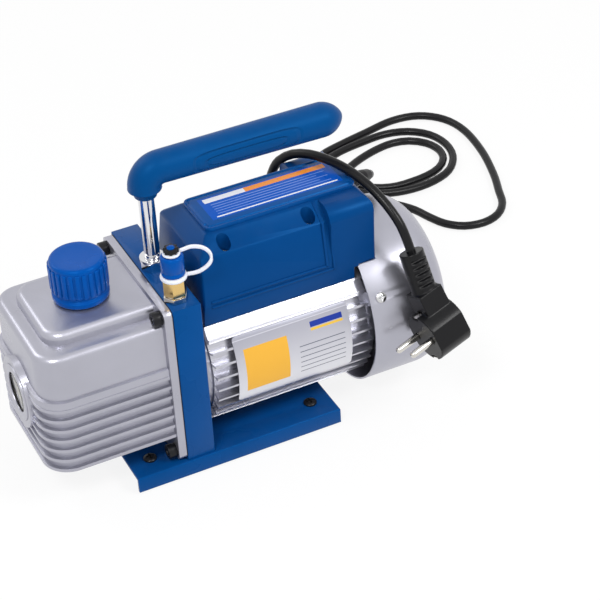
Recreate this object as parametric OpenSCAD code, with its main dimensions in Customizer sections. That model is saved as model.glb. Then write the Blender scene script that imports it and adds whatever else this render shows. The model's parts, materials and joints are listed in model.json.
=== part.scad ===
// Rotary vane vacuum pump on a sheet base, with its motor, fan, handle, oil case and mains lead.
// Millimetres, +Z up. X runs along the shaft from the oil case (-X) to the fan (+X).
// The origin is the middle of the pump without its lead, on the floor.

/* [Base] */
// Length of the base channel
base_l = 152; // [140:1:165]
// Width of the base channel
base_w = 110; // [110:1:140]
// Height of the channel's top face above the floor
base_h = 13; // [11:0.5:20]
// Sheet thickness of the channel
base_t = 2.2; // [1.5:0.1:3]
// How far the base reaches in front of the bracket
base_lead = 37.5; // [30:0.5:45]

/* [Bracket] */
// Thickness of the bracket block along the shaft
bracket_l = 20; // [18:0.5:26]
// Width of the bracket block
bracket_w = 106.8; // [104:0.2:120]
// Height of the bracket's flat top above the floor
bracket_top = 137; // [134:0.5:150]
// Height of the shaft axis above the floor
axis_h = 66.5; // [66.5:0.5:72]

/* [Oil case] */
// Reach of the oil case in front of the bracket
case_l = 91; // [88:1:110]
// Outer width of the oil case body
case_w = 96; // [92:1:100]
// Wall thickness of the oil case
case_t = 3.5; // [3:0.25:5]
// Thickness of the case flange
flange_t = 5.4; // [4:0.2:7]
// Number of ribs round the case
rib_count = 7; // [3:1:7]
// Distance between two ribs
rib_pitch = 8.15; // [7:0.05:8.2]
// Outer diameter of the sight glass boss
sight_d = 50; // [44:1:54]
// Height of the sight glass centre
sight_h = 73; // [70:0.5:76]

/* [Oil cap] */
// Outer diameter of the oil fill cap
cap_d = 39; // [34:0.5:42]
// Height of the oil fill cap
cap_h = 29.5; // [24:0.5:34]
// Distance of the cap centre in front of the bracket
cap_set = 42.5; // [40:0.5:50]

/* [Pump] */
// Bore radius of the stator
bore_r = 21; // [20:0.1:21.4]
// Radius of the rotor
rotor_r = 18; // [17:0.1:18.4]
// Length of the rotor
rotor_l = 40; // [34:1:42]
// Radius of the pump shaft
shaft_r = 7; // [6:0.25:7.5]

/* [Motor] */
// Radius over the motor's fins
fin_r = 53.5; // [52:0.25:53.5]
// Depth of a fin
fin_depth = 6.5; // [4:0.25:7.5]
// Number of fins round the motor
fin_count = 36; // [24:1:40]
// Thickness of a fin
fin_t = 1.6; // [1.2:0.1:2]
// Length of the finned housing
motor_l = 116; // [112:1:124]

/* [Fan cover] */
// Outer radius of the fan cover
fan_cover_r = 62; // [61:0.25:64]
// Length of the fan cover
fan_cover_l = 64; // [60:1:72]
// Radius of the fan cover's rear edge
fan_cover_edge = 24; // [16:1:28]
// Sheet thickness of the fan cover
fan_cover_t = 1.2; // [1:0.1:2]

/* [Top cover] */
// Half width of the top cover
cover_y = 39; // [38:0.25:41]
// Height of the fold between the cover's side and its slope
fold_h = 155; // [152:0.5:158]
// Height of the cover's top skin
cover_h = 165; // [163:0.5:168]
// Wall thickness of the top cover
cover_t = 2.4; // [2:0.1:3]
// Width of the lid panel
lid_w = 41; // [36:0.5:44]

/* [Handle] */
// Height of the grip's axis
grip_h = 211.8; // [205:0.1:230]
// Diameter of the grip
grip_d = 22.4; // [20:0.2:26]
// Diameter of the handle post
post_d = 10.6; // [10:0.2:12]
// Reach of the grip behind the post
grip_reach = 143; // [120:1:150]

/* [Cord] */
// Diameter of the mains cord
cord_d = 6.5; // [6:0.25:7]

/* [Hidden] */
$fn = 64;

// Places along X. The pump without its lead is centred on X = 0.
gasket_t = 0.6;
sight_out = 4.6;
bezel_out = 0.6;
bell_t = 6.5;
fan_lap = 2;
front_reach = case_l + sight_out + bezel_out;
rear_reach = bracket_l + bell_t + motor_l - fan_lap + fan_cover_l;
x_br0 = (front_reach - rear_reach) / 2;
x_br1 = x_br0 + bracket_l;
x_fl1 = x_br0 - gasket_t;
x_fl0 = x_fl1 - flange_t;
x_case0 = x_br0 - case_l;
x_mot0 = x_br1 + bell_t;
x_mot1 = x_mot0 + motor_l;
x_fan0 = x_mot1 - fan_lap;
x_fan1 = x_fan0 + fan_cover_l;
x_base0 = x_br0 - base_lead;
x_base1 = min(x_base0 + base_l, x_fan0 - 1);

// Bracket and flange
bracket_h = bracket_top - base_h;
flange_w = bracket_w;
flange_z0 = base_h + 1;
bolt_y = bracket_w / 2 - 7.2;
bolt_r = 2.5;
bolt_z = [flange_z0 + 6, bracket_top - 6.5];
post_x = x_br0 + 9.3;
intake_x = x_br0 + 8;
intake_y = -40.5;
post_thread_r = 4;
intake_bore_r = 2.8;

// Oil case
case_z0 = 32.5;
tier_z = 124.2;
case_top = 132.8;
tier_y = 35;
tier_set = 11;
corner_r = 17;
edge_r = 5;
rib_out = 3;
rib_t = 2.5;
rib_z0 = case_z0 + 1.7;
ledge_t = 5.5;
ledge_set = 0.5;
drain_x = x_case0 + 20;
sight_lens_r = 17;
cap_x = x_br0 - cap_set;
neck_r = 12;
filler_bore_r = 9;

// Pump body, mounted on the bracket's front face inside the oil case
bore_shift = bore_r - rotor_r - 0.1;
stator_r = bore_r + 9;
stator_screw_r = stator_r - 3.4;
pump_screw_r = 2.1;
plate_t = 8;
x_st0 = x_br0 - rotor_l - 0.1;
port_a = 30;
slot_w = 4;
vane_gap = 0.05;
vane_h = 9.5;
slot_base = 5.5;
spring_r = 1.5;
spring_wire = 0.45;
shaft_gap = 0.05;
seal_r = 13;

// Motor
core_r = fin_r - fin_depth;
core_in_r = core_r - 3.5;
stator_in_r = 27;
winding_in = 3.25;
winding_l = 9;
air_gap = 0.4;
motor_rotor_r = stator_in_r - air_gap;
x_core0 = x_mot0 + 26;
x_core1 = x_mot1 - 24;
bearing_r = 17.5;
bearing_w = 11;
motor_shaft_r = 7;
pad_w = 34;
fan_r = fan_cover_r - 12;
fan_hub_r = 16;
blade_count = 9;
x_blade0 = x_mot1 + 18;
blade_l = 20;

// Top cover
cover_lap = 13.5;
x_cov0 = x_mot0;
x_cov1 = x_fan0 + cover_lap;
cover_z0 = axis_h + sqrt(fin_r * fin_r - cover_y * cover_y) + 3.4;
step_x = x_fan0 + 0.6;
step_z = axis_h + 50;
lid_x0 = x_cov0 + 14.5;
lid_x1 = x_cov1 - 3;
lid_t = 2.6;
slope_y = lid_w / 2 + 0.5;
fold_y = cover_y - 4.5;
lean_z = 124.5;
nose_lean = 3;
panel_x1 = x_cov1 - 32.5;
shoulder_r = 11;
rear_r = 6;
cover_screw_x = [x_mot0 + 22.7, x_mot0 + 84];
cover_screw_y = 28;
cover_seat_z = 150;
pocket_r = 4.5;
pocket_slot = 1.5;
pillar_r = 6.5;
cover_screw_r = 2;
cover_screw_a = acos(cover_screw_y / fin_r);
gland_y = 10;
gland_z = 150;
gland_r = 7;
switch_y = -16;
switch_z = 142.5;
fan_screw_angles = [0, 118, 242];
fan_screw_set = 6.5;
fan_screw_r = 2;

// Handle
grip_r = grip_d / 2;
post_in = 14;
nut_h = 9;

// Points of the mains cord, from the strain relief to the plug, chosen by hand
cord_route = [
    [124, 16.7, 145.3], [128, 22.4, 141.2], [131, 30, 135.6], [132.2, 39, 128.8], [132.4, 50, 119],
    [131.6, 62, 105.5], [130.6, 73.5, 83], [130.6, 82, 60], [131.2, 87, 41], [133.2, 92, 25],
    [137.6, 99.5, 12.6], [144.5, 110, 5.6], [153, 123.5, 3.6], [163, 140, 3.4], [173, 160, 3.4],
    [182, 181, 3.4], [190.5, 202, 3.4], [200, 219, 3.4], [213, 232, 3.4], [229, 241, 3.4],
    [248, 247.5, 3.4], [264, 249.5, 3.4], [278, 245.5, 3.4], [288.5, 235, 3.4], [292.5, 220.5, 3.4],
    [288.5, 206, 3.4], [278, 195.5, 3.4], [264, 190.4, 3.4], [249.5, 188.8, 3.4], [236, 188.8, 3.6],
    [223, 190.5, 5.2], [208.5, 195.5, 8.4], [197, 206.8, 10.4], [191.8, 222.5, 8.4], [193.5, 238.5, 5],
    [203, 252.5, 3.5], [220, 260, 3.4], [243, 264, 3.4], [265, 265.5, 3.4], [284, 259.5, 3.4],
    [297.5, 245.5, 3.4], [302, 226, 3.4], [297.5, 205.5, 3.4], [284, 188.5, 3.4], [265, 180.4, 3.4],
    [245, 178.5, 3.6], [225, 181, 4.8], [205.5, 187, 8], [191, 199.5, 10.4], [183, 216.5, 8],
    [183, 235, 4.4], [190.5, 251.5, 3.4], [205, 263.5, 3.4], [226, 270, 3.4], [252, 276, 3.4],
    [281, 282, 3.4], [304.5, 277.5, 3.4], [320.5, 261, 3.4], [326, 236, 3.4], [322, 200, 3.4],
    [312.5, 165, 3.4], [303.5, 141.5, 3.4], [296.5, 124, 3.4], [285, 112, 3.4], [270, 107.5, 3.4],
    [254.5, 111, 3.4], [243, 121.5, 3.4], [236.5, 136, 3.4], [231.5, 151, 3.4], [223, 164.5, 3.4],
    [212, 174, 4.4], [197, 179, 7.9], [181, 179.5, 10.4], [165, 175.8, 7.9], [149, 167, 4.2],
    [124, 150.5, 3.4], [100, 131.5, 3.8], [83, 114.5, 7.5], [72, 100.5, 17], [66, 88.5, 33],
    [62.5, 75.5, 60], [61.8, 64, 95], [63, 54, 126], [65, 47.2, 149], [68.4, 40.4, 162],
    [74.2, 30, 170.8], [81.5, 18.8, 174.3], [88, 8, 174.4], [94, -3, 173], [99, -14, 170.4],
    [103.4, -25, 166.2], [107.2, -35.5, 160.6], [110.4, -44.8, 153.8], [112.9, -51.9, 146.2]];
cord_sides = 10;
cord_step = 30;

// ---------- helpers ----------
module rrect(w, h, r) {
    square([w - 2 * r, h], center = true);
    square([w, h - 2 * r], center = true);
    for (x = [-1, 1], y = [-1, 1])
        translate([x * (w / 2 - r), y * (h / 2 - r)]) circle(r);
}

module along_x(x, y = 0, z = 0) {
    translate([x, y, z]) rotate([0, 90, 0]) children();
}

module at_shaft(x) {
    along_x(x, 0, axis_h) children();
}

// A YZ outline pushed along +X: the outline's first axis is Y and its second is Z
module push_x(x0, x1) {
    translate([x0, 0, 0]) rotate([90, 0, 90]) linear_extrude(x1 - x0) children();
}

// A XZ outline pushed along Y between y0 and y1
module push_y(y0, y1) {
    translate([0, y1, 0]) rotate([90, 0, 0]) linear_extrude(y1 - y0) children();
}

module cap_screw(head_r, head_h, shank_r, shank_l, key_r) {
    difference() {
        cylinder(r = head_r, h = head_h);
        translate([0, 0, head_h * 0.45]) cylinder(r = key_r, h = head_h, $fn = 6);
    }
    translate([0, 0, -shank_l]) cylinder(r = shank_r, h = shank_l);
}

module pan_screw(head_r, head_h, shank_r, shank_l) {
    difference() {
        intersection() {
            cylinder(r = head_r, h = head_h);
            translate([0, 0, head_h - head_r * 1.6]) sphere(r = head_r * 1.6);
        }
        for (a = [0, 90]) rotate(a)
            translate([-head_r * 0.6, -0.5, head_h * 0.5]) cube([head_r * 1.2, 1, head_h]);
    }
    translate([0, 0, -shank_l]) cylinder(r = shank_r, h = shank_l);
}

// ---------- base ----------
foot_in = 15.5;
foot_x = [x_base0 + foot_in, x_base1 - foot_in];
foot_y = 38.7;
foot_r = 9;
foot_gap = 1.2;
foot_screw_r = 2.5;
block_bolt_y = 34;
block_bolt_x = x_br0 + bracket_l / 2;
block_bolt_r = 3;
motor_bolt_x = x_mot0 + 62;
motor_bolt_y = 11;
motor_bolt_r = 2.5;
hole_play = 0.3;

module base_plate() {
    color([0.05, 0.22, 0.45]) difference() {
        push_x(x_base0, x_base1) difference() {
            translate([-base_w / 2, foot_gap]) square([base_w, base_h - foot_gap]);
            translate([-base_w / 2 + base_t, -1])
                square([base_w - 2 * base_t, base_h - base_t + 1]);
        }
        for (x = foot_x, y = [-1, 1])
            translate([x, y * foot_y, 0]) cylinder(r = foot_screw_r + hole_play, h = base_h + 1);
        for (y = [-1, 1]) {
            translate([block_bolt_x, y * block_bolt_y, 0])
                cylinder(r = block_bolt_r + hole_play, h = base_h + 1);
            translate([motor_bolt_x, y * motor_bolt_y, 0])
                cylinder(r = motor_bolt_r + hole_play, h = base_h + 1);
        }
    }
}

module rubber_feet() {
    color([0.08, 0.08, 0.08]) for (x = foot_x, y = [-1, 1])
        translate([x, y * foot_y, 0]) difference() {
            cylinder(r1 = foot_r - 1.5, r2 = foot_r, h = base_h - base_t);
            translate([0, 0, 3]) cylinder(r = foot_screw_r, h = base_h);
        }
}

module foot_screws() {
    color([0.1, 0.1, 0.1]) for (x = foot_x, y = [-1, 1])
        translate([x, y * foot_y, base_h]) pan_screw(4.6, 2.8, foot_screw_r, base_h - 4.5);
}

module block_bolts() {
    color([0.6, 0.6, 0.62]) for (y = [-1, 1])
        translate([block_bolt_x, y * block_bolt_y, base_h - base_t])
            mirror([0, 0, 1]) cap_screw(5, 4, block_bolt_r, base_t + 12, 2.5);
}

module motor_foot_screws() {
    color([0.6, 0.6, 0.62]) for (y = [-1, 1])
        translate([motor_bolt_x, y * motor_bolt_y, base_h - base_t])
            mirror([0, 0, 1]) cap_screw(4.2, 3.5, motor_bolt_r, base_t + 4.5, 2);
}

// ---------- bracket ----------
module bolt_places() {
    for (y = [-1, 1], z = bolt_z) translate([0, y * bolt_y, z]) children();
}

module pump_bracket() {
    color([0.02, 0.27, 0.55]) difference() {
        translate([x_br0, -bracket_w / 2, base_h]) cube([bracket_l, bracket_w, bracket_h]);
        at_shaft(x_br0 - 1) cylinder(r = shaft_r + 0.5, h = bracket_l + 2);
        at_shaft(x_br0 + 6) cylinder(r = seal_r, h = bracket_l);
        at_shaft(x_br0 + 13) cylinder(r = 20, h = bracket_l);
        bolt_places() along_x(x_br0 - 1) cylinder(r = bolt_r + 0.1, h = 13);
        translate([post_x, 0, bracket_top - 16]) cylinder(r = post_thread_r, h = 17);
        translate([intake_x, intake_y, axis_h + 10]) cylinder(r = intake_bore_r, h = bracket_h);
        translate([intake_x, intake_y - intake_bore_r, axis_h + 14]) rotate([-90, 0, 0])
            cylinder(r = intake_bore_r - 0.3, h = 20);
        along_x(x_br0 - 1, intake_y + 14, axis_h + 14)
            cylinder(r = intake_bore_r - 0.3, h = 9.2);
        for (y = [-1, 1])
            translate([block_bolt_x, y * block_bolt_y, base_h - 1]) cylinder(r = block_bolt_r, h = 14);
        stator_screw_places(x_br0 - 1, 12, pump_screw_r + 0.1);
    }
}

module stator_screw_places(x0, l, r) {
    for (a = [45, 135, 225, 315])
        at_shaft(x0) rotate(a) translate([stator_screw_r, 0, 0]) cylinder(r = r, h = l);
}

// ---------- oil case ----------
module flange_outline(inset = 0) {
    translate([0, (flange_z0 + bracket_top) / 2])
        rrect(flange_w - 2 * inset, bracket_top - flange_z0 - 2 * inset, 5);
}

module case_window() {
    translate([0, (case_z0 + tier_z) / 2])
        rrect(case_w - 2 * case_t, tier_z - case_z0 - 2 * case_t, 8);
}

module case_gasket() {
    color([0.15, 0.15, 0.16]) difference() {
        push_x(x_fl1, x_br0) difference() {
            flange_outline();
            case_window();
        }
        bolt_places() along_x(x_fl1 - 1) cylinder(r = bolt_r + 0.4, h = gasket_t + 2);
    }
}

// A box with round front corners and a round top edge
module tier(x0, y, z0, z1, r, e) {
    hull() {
        for (s = [-1, 1]) {
            translate([x0 + r, s * (y - r), z0]) cylinder(r = r, h = z1 - z0 - e, $fn = 32);
            translate([x0 + r, s * (y - r), z1 - e]) rotate_extrude($fn = 32)
                translate([r - e, 0]) intersection() {
                    circle(e, $fn = 24);
                    square(e);
                }
            along_x(x_fl0, s * (y - e), z1 - e) cylinder(r = e, h = flange_t, $fn = 24);
        }
        translate([x_fl0, -y, z0]) cube([flange_t, 2 * y, z1 - z0 - e]);
    }
}

// A band round the front and sides of the case
module case_band(z, h, out) {
    translate([0, 0, z]) linear_extrude(h) difference() {
        case_plan(out);
        case_plan(-1);
        translate([x_fl0, -case_w]) square([case_l, 2 * case_w]);
    }
}

module case_plan(out) {
    translate([x_case0 - out + (case_l + corner_r) / 2 + out / 2, 0])
        rrect(case_l + corner_r + out, case_w + 2 * out, corner_r + out);
}

module case_shell() {
    tier(x_case0, case_w / 2, case_z0, tier_z, corner_r, edge_r);
    tier(x_case0 + tier_set, tier_y, tier_z - 8, case_top, corner_r - 3, edge_r);
}

module case_cavity() {
    linear_z = tier_z - case_t;
    translate([x_case0 + case_t, 0, case_z0 + case_t])
        linear_extrude(linear_z - case_z0 - case_t) translate([case_l / 2, 0])
            rrect(case_l, case_w - 2 * case_t, corner_r - case_t);
    translate([x_case0 + tier_set + case_t, 0, tier_z - 9])
        linear_extrude(case_top - case_t - tier_z + 9) translate([case_l / 2, 0])
            rrect(case_l, 2 * (tier_y - case_t), corner_r - 3 - case_t);
}

module oil_case() {
    color([0.72, 0.72, 0.78]) {
        difference() {
            union() {
                case_shell();
                along_x(x_case0 - sight_out, 0, sight_h) cylinder(r = sight_d / 2, h = sight_out + 3);
                translate([cap_x, 0, case_top - 2]) cylinder(r = neck_r + 3, h = 2.4);
            }
            case_cavity();
            translate([x_fl1, -case_w, 0]) cube([bracket_l, 2 * case_w, case_top + 5]);
            along_x(x_case0 - sight_out - 1, 0, sight_h) cylinder(r = sight_d / 2 - 5, h = 3.6);
            along_x(x_case0 - sight_out - 1, 0, sight_h) cylinder(r = sight_lens_r - 3, h = case_t + 20);
            translate([cap_x, 0, case_top - 12]) cylinder(r = filler_bore_r, h = 20);
            translate([drain_x, 0, case_z0 - 1]) cylinder(r = 4, h = case_t + 2);
        }
        difference() {
            push_x(x_fl0, x_fl1) difference() {
                flange_outline();
                case_window();
            }
            bolt_places() along_x(x_fl0 - 1) cylinder(r = bolt_r + 0.4, h = flange_t + 2);
        }
        difference() {
            union() {
                for (i = [0 : rib_count - 1]) case_band(rib_z0 + i * rib_pitch, rib_t, rib_out);
                case_band(rib_z0 + (rib_count - 1) * rib_pitch + rib_t, ledge_t, rib_out - ledge_set);
            }
            along_x(x_case0 - 20, 0, sight_h) cylinder(r = sight_d / 2 - 0.5, h = 30);
        }
    }
}

module case_screws() {
    color([0.08, 0.08, 0.09]) bolt_places() along_x(x_fl0) mirror([0, 0, 1])
        cap_screw(5, 6, bolt_r, flange_t + gasket_t + 11, 2.5);
}

module drain_plug() {
    color([0.78, 0.6, 0.25]) translate([drain_x, 0, case_z0]) {
        cylinder(r = 3.9, h = case_t - 0.5);
        translate([0, 0, -6]) cylinder(r = 7, h = 6, $fn = 6);
    }
}

module sight_glass_bezel() {
    color([0.6, 0.6, 0.65]) along_x(x_case0 - sight_out - bezel_out, 0, sight_h) difference() {
        cylinder(r = sight_d / 2 - 5.1, h = 3.2);
        translate([0, 0, -1]) cylinder(r = sight_lens_r - 3, h = 6);
        translate([0, 0, 1.2]) cylinder(r = sight_lens_r, h = 6);
    }
}

module sight_glass_lens() {
    color([0.85, 0.88, 0.8, 0.5]) along_x(x_case0 - sight_out + 0.6, 0, sight_h)
        cylinder(r = sight_lens_r - 0.1, h = 2);
}

seal_t = 1.2;
cap_seat = case_top + 0.4 + seal_t;
cap_ridges = 36;
module oil_fill_cap() {
    r = cap_d / 2;
    color([0.02, 0.36, 0.72]) translate([cap_x, 0, cap_seat]) {
        rotate_extrude() polygon([[neck_r - 3.5, 0], [r - 1.2, 0], [r - 0.4, 1.2], [r - 0.4, 4],
            [r - 1.8, 4.6], [r - 1.8, 6.4], [r - 0.6, 7], [r - 0.6, cap_h - 3], [r - 3, cap_h - 0.8],
            [r - 5, cap_h], [r - 7, cap_h], [r - 8, cap_h - 0.8], [0, cap_h - 0.8], [0, cap_h - 3.6],
            [neck_r - 3.5, cap_h - 3.6]]);
        for (i = [0 : cap_ridges - 1]) rotate(i * 360 / cap_ridges)
            translate([r - 1.6, -0.8, 7.5]) cube([1.6, 1.6, cap_h - 11.5]);
        translate([0, 0, -9 - seal_t]) difference() {
            cylinder(r = filler_bore_r - 0.1, h = 10 + seal_t);
            translate([0, 0, -1]) cylinder(r = filler_bore_r - 2.6, h = 20);
        }
    }
}

module fill_cap_seal() {
    color([0.1, 0.1, 0.1]) translate([cap_x, 0, case_top + 0.4]) difference() {
        cylinder(r = neck_r + 2.4, h = seal_t);
        translate([0, 0, -1]) cylinder(r = filler_bore_r, h = seal_t + 2);
    }
}

// ---------- handle ----------
module handle_nut() {
    color([0.85, 0.85, 0.88]) translate([post_x, 0, bracket_top]) difference() {
        union() {
            cylinder(r = 8.4, h = nut_h - 2, $fn = 6);
            translate([0, 0, nut_h - 2.2]) cylinder(r = 8.8, h = 2.2);
        }
        translate([0, 0, -1]) cylinder(r = post_thread_r + 0.1, h = nut_h + 2);
    }
}

module handle_post() {
    color([0.85, 0.85, 0.88]) translate([post_x, 0, bracket_top - 14]) {
        cylinder(r = post_thread_r - 0.05, h = 14 + nut_h);
        translate([0, 0, 14 + nut_h]) difference() {
            cylinder(r = post_d / 2, h = grip_h - collar_h + post_in - bracket_top - nut_h);
            translate([0, 0, 3]) difference() {
                cylinder(r = post_d, h = 1.2);
                translate([0, 0, -1]) cylinder(r = post_d / 2 - 0.6, h = 4);
            }
        }
    }
}

bend_r = grip_r + 0.3;
lip_h = 1.5;
grip_neck_h = 5.5;
grip_neck_r = 8.8;
grip_neck_end_r = 7.2;
collar_h = bend_r + lip_h + grip_neck_h;
grip_end_r = grip_r + 0.7;
grip_fall = 0.5;
nose_back = 5;
nose_arc_r = grip_end_r + nose_back;
nose_l = sqrt(nose_arc_r * nose_arc_r - nose_back * nose_back);

module handle_grip() {
    straight_l = grip_reach - bend_r - nose_l;
    color([0.03, 0.27, 0.53]) difference() {
        union() {
            translate([post_x + bend_r, 0, grip_h]) rotate([0, 90 + grip_fall, 0]) {
                cylinder(r1 = grip_r, r2 = grip_end_r, h = straight_l);
                translate([0, 0, straight_l]) rotate_extrude() intersection() {
                    translate([-nose_back, 0]) circle(nose_arc_r);
                    square(grip_end_r + nose_l);
                }
            }
            intersection() {
                translate([post_x + bend_r, 0, grip_h - bend_r]) rotate([90, 0, 0])
                    rotate_extrude() translate([bend_r, 0]) circle(grip_r);
                translate([post_x - grip_r - 1, -grip_d, grip_h - bend_r])
                    cube([bend_r + grip_r + 1, 2 * grip_d, bend_r + grip_r + 1]);
            }
            translate([post_x, 0, grip_h - bend_r - lip_h])
                cylinder(r1 = grip_r + 0.2, r2 = grip_r, h = lip_h);
            translate([post_x, 0, grip_h - collar_h])
                cylinder(r1 = grip_neck_end_r, r2 = grip_neck_r, h = grip_neck_h + 0.1);
        }
        translate([post_x, 0, grip_h - collar_h - 1])
            cylinder(r = post_d / 2, h = post_in + 1);
    }
}

// ---------- intake ----------
adapter_h = 5;
hex_z0 = bracket_top + adapter_h;
hex_h = 11.5;
flare_r = 5.2;
flare_h = 13;
strap_h = 3.6;
capin_z0 = hex_z0 + hex_h + strap_h;
capin_h = 14.5;
capin_r = 7.8;

module intake_adapter() {
    color([0.75, 0.75, 0.76]) translate([intake_x, intake_y, bracket_top]) difference() {
        union() {
            cylinder(r = 8.4, h = adapter_h - 1, $fn = 6);
            cylinder(r = 6.4, h = adapter_h);
            translate([0, 0, -9]) cylinder(r = intake_bore_r - 0.1, h = 10);
        }
        translate([0, 0, -10]) cylinder(r = 1.9, h = 20);
    }
}

module intake_fitting() {
    color([0.8, 0.62, 0.3]) translate([intake_x, intake_y, hex_z0]) difference() {
        union() {
            cylinder(r = 8, h = hex_h, $fn = 6);
            translate([0, 0, hex_h]) cylinder(r = flare_r, h = flare_h - 3);
            translate([0, 0, hex_h + flare_h - 3]) cylinder(r1 = flare_r, r2 = 3.4, h = 3);
        }
        translate([0, 0, -1]) cylinder(r = 2.4, h = hex_h + flare_h + 2);
    }
}

module intake_cap() {
    color([0.03, 0.3, 0.6]) translate([intake_x, intake_y, capin_z0]) difference() {
        rotate_extrude() polygon([[0, 0], [capin_r - 0.2, 0], [capin_r, 0.6], [capin_r, capin_h - 1.6],
            [capin_r - 0.9, capin_h], [0, capin_h]]);
        translate([0, 0, -1]) cylinder(r = flare_r + 0.3, h = flare_h + 0.4);
    }
}

knob_r = 5.1;
module cap_knob() {
    color([0.08, 0.2, 0.35]) translate([intake_x, intake_y, capin_z0 + capin_h]) {
        cylinder(r = 3.6, h = 2.3);
        translate([0, 0, 2.3]) difference() {
            cylinder(r = knob_r, h = 2.9);
            for (i = [0 : 7]) rotate(i * 45) translate([knob_r + 0.3, 0, -1]) cylinder(r = 1.2, h = 6);
        }
    }
}

module cap_strap() {
    color([0.93, 0.93, 0.95]) translate([intake_x, intake_y, 0]) {
        translate([0, 0, hex_z0 + hex_h + 0.05]) difference() {
            cylinder(r = 9, h = strap_h - 0.3);
            translate([0, 0, -1]) cylinder(r = flare_r + 0.15, h = 6);
        }
        translate([0, 0, capin_z0 + capin_h + 0.25]) difference() {
            cylinder(r = 6, h = 1.8);
            translate([0, 0, -1]) cylinder(r = 3.75, h = 6);
        }
        strap_loop();
    }
}

loop_pts = [[8, -1.5, hex_z0 + hex_h + 1.2], [15, -4, hex_z0 + hex_h + 2], [21, -6, hex_z0 + hex_h + 5.5],
    [24.5, -6, hex_z0 + hex_h + 9.5], [24.5, -4, hex_z0 + hex_h + 14], [20.5, -2, hex_z0 + hex_h + 18],
    [14, -0.5, capin_z0 + capin_h + 1.9], [9, 0, capin_z0 + capin_h + 1.5], [5.8, 0, capin_z0 + capin_h + 1.2]];
module strap_loop() {
    sweep(loop_pts, 1.3, 8, 3);
}

// ---------- a tube swept along points ----------
function unit(v) = v / norm(v);
// Catmull-Rom point between p[i] and p[i + 1]
function cr(a, b, c, d, t) =
    0.5 * (2 * b + (c - a) * t + (2 * a - 5 * b + 4 * c - d) * t * t + (3 * b - a - 3 * c + d) * t * t * t);
function at(p, i) = p[max(0, min(len(p) - 1, i))];
function seg_n(p, i, step) = max(1, round(norm(p[i + 1] - p[i]) / step));
function smooth_path(p, step) = concat([for (i = [0 : len(p) - 2])
    let (n = seg_n(p, i, step))
    for (k = [0 : n - 1]) cr(at(p, i - 1), p[i], p[i + 1], at(p, i + 2), k / n)], [p[len(p) - 1]]);
function tangent(p, i) = unit(at(p, i + 1) - at(p, i - 1));
function next_up(u, t) = unit(u - (u * t) * t);
function ups(p, i, u) = i >= len(p) ? [] :
    let (n = next_up(u, tangent(p, i))) concat([n], ups(p, i + 1, n));

module sweep(pts, r, sides, step, r_end = undef) {
    p = smooth_path(pts, step);
    r1 = is_undef(r_end) ? r : r_end;
    t0 = tangent(p, 0);
    u0 = abs(t0[2]) < 0.9 ? [0, 0, 1] : [1, 0, 0];
    us = ups(p, 0, u0);
    rings = [for (i = [0 : len(p) - 1])
        let (t = tangent(p, i), u = us[i], v = cross(t, u), q = r + (r1 - r) * i / (len(p) - 1))
        for (k = [0 : sides - 1]) p[i] + q * (cos(360 * k / sides) * u + sin(360 * k / sides) * v)];
    n = len(p);
    faces = concat([[for (k = [sides - 1 : -1 : 0]) k]],
        [for (i = [0 : n - 2], k = [0 : sides - 1])
            [i * sides + k, i * sides + (k + 1) % sides, (i + 1) * sides + (k + 1) % sides,
                (i + 1) * sides + k]],
        [[for (k = [0 : sides - 1]) (n - 1) * sides + k]]);
    polyhedron(rings, [for (f = faces) [for (j = [len(f) - 1 : -1 : 0]) f[j]]]);
}

// ---------- pump body ----------
module pump_stator() {
    color([0.5, 0.5, 0.53]) difference() {
        at_shaft(x_st0) cylinder(r = stator_r, h = rotor_l + 0.1);
        along_x(x_st0 - 1, bore_shift, axis_h) cylinder(r = bore_r, h = rotor_l + 2);
        stator_screw_places(x_st0 - 1, rotor_l + 2, pump_screw_r + 0.2);
        translate([x_st0 + rotor_l / 2, 0, axis_h]) rotate([port_a, 0, 0])
            cylinder(r = 3, h = stator_r + 5);
    }
}

module pump_end_plate() {
    color([0.55, 0.55, 0.58]) difference() {
        at_shaft(x_st0 - plate_t) cylinder(r = stator_r, h = plate_t);
        at_shaft(x_st0 - plate_t + 3) cylinder(r = shaft_r + shaft_gap, h = plate_t);
        stator_screw_places(x_st0 - plate_t - 1, plate_t + 2, pump_screw_r + 0.2);
    }
}

module pump_screws() {
    color([0.6, 0.6, 0.62]) for (a = [45, 135, 225, 315])
        at_shaft(x_st0 - plate_t) rotate(a) translate([stator_screw_r, 0, 0])
            mirror([0, 0, 1]) cap_screw(3.6, 4, pump_screw_r, plate_t + rotor_l + 9, 1.6);
}

module exhaust_reed() {
    color([0.7, 0.7, 0.72]) translate([x_st0 + rotor_l / 2, 0, axis_h])
        rotate([port_a, 0, 0]) translate([-5, -4, stator_r + 0.02]) cube([10, 8, 0.5]);
}

module shaft_seal() {
    color([0.12, 0.12, 0.12]) at_shaft(x_br0 + 6.2) difference() {
        cylinder(r = seal_r - 0.05, h = 6.5);
        translate([0, 0, -1]) cylinder(r = shaft_r + shaft_gap, h = 10);
    }
}

module pump_rotor() {
    color([0.6, 0.6, 0.63]) difference() {
        union() {
            at_shaft(x_st0 + 0.05) cylinder(r = rotor_r, h = rotor_l);
            at_shaft(x_st0 - plate_t + 3.2) cylinder(r = shaft_r, h = x_br1 - 4 - x_st0 + plate_t - 3.2);
        }
        for (s = [-1, 1]) translate([x_st0 + 0.05, -slot_w / 2, axis_h])
            mirror([0, 0, s < 0 ? 1 : 0]) translate([0, 0, slot_base]) cube([rotor_l, slot_w, rotor_r]);
    }
}

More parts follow.
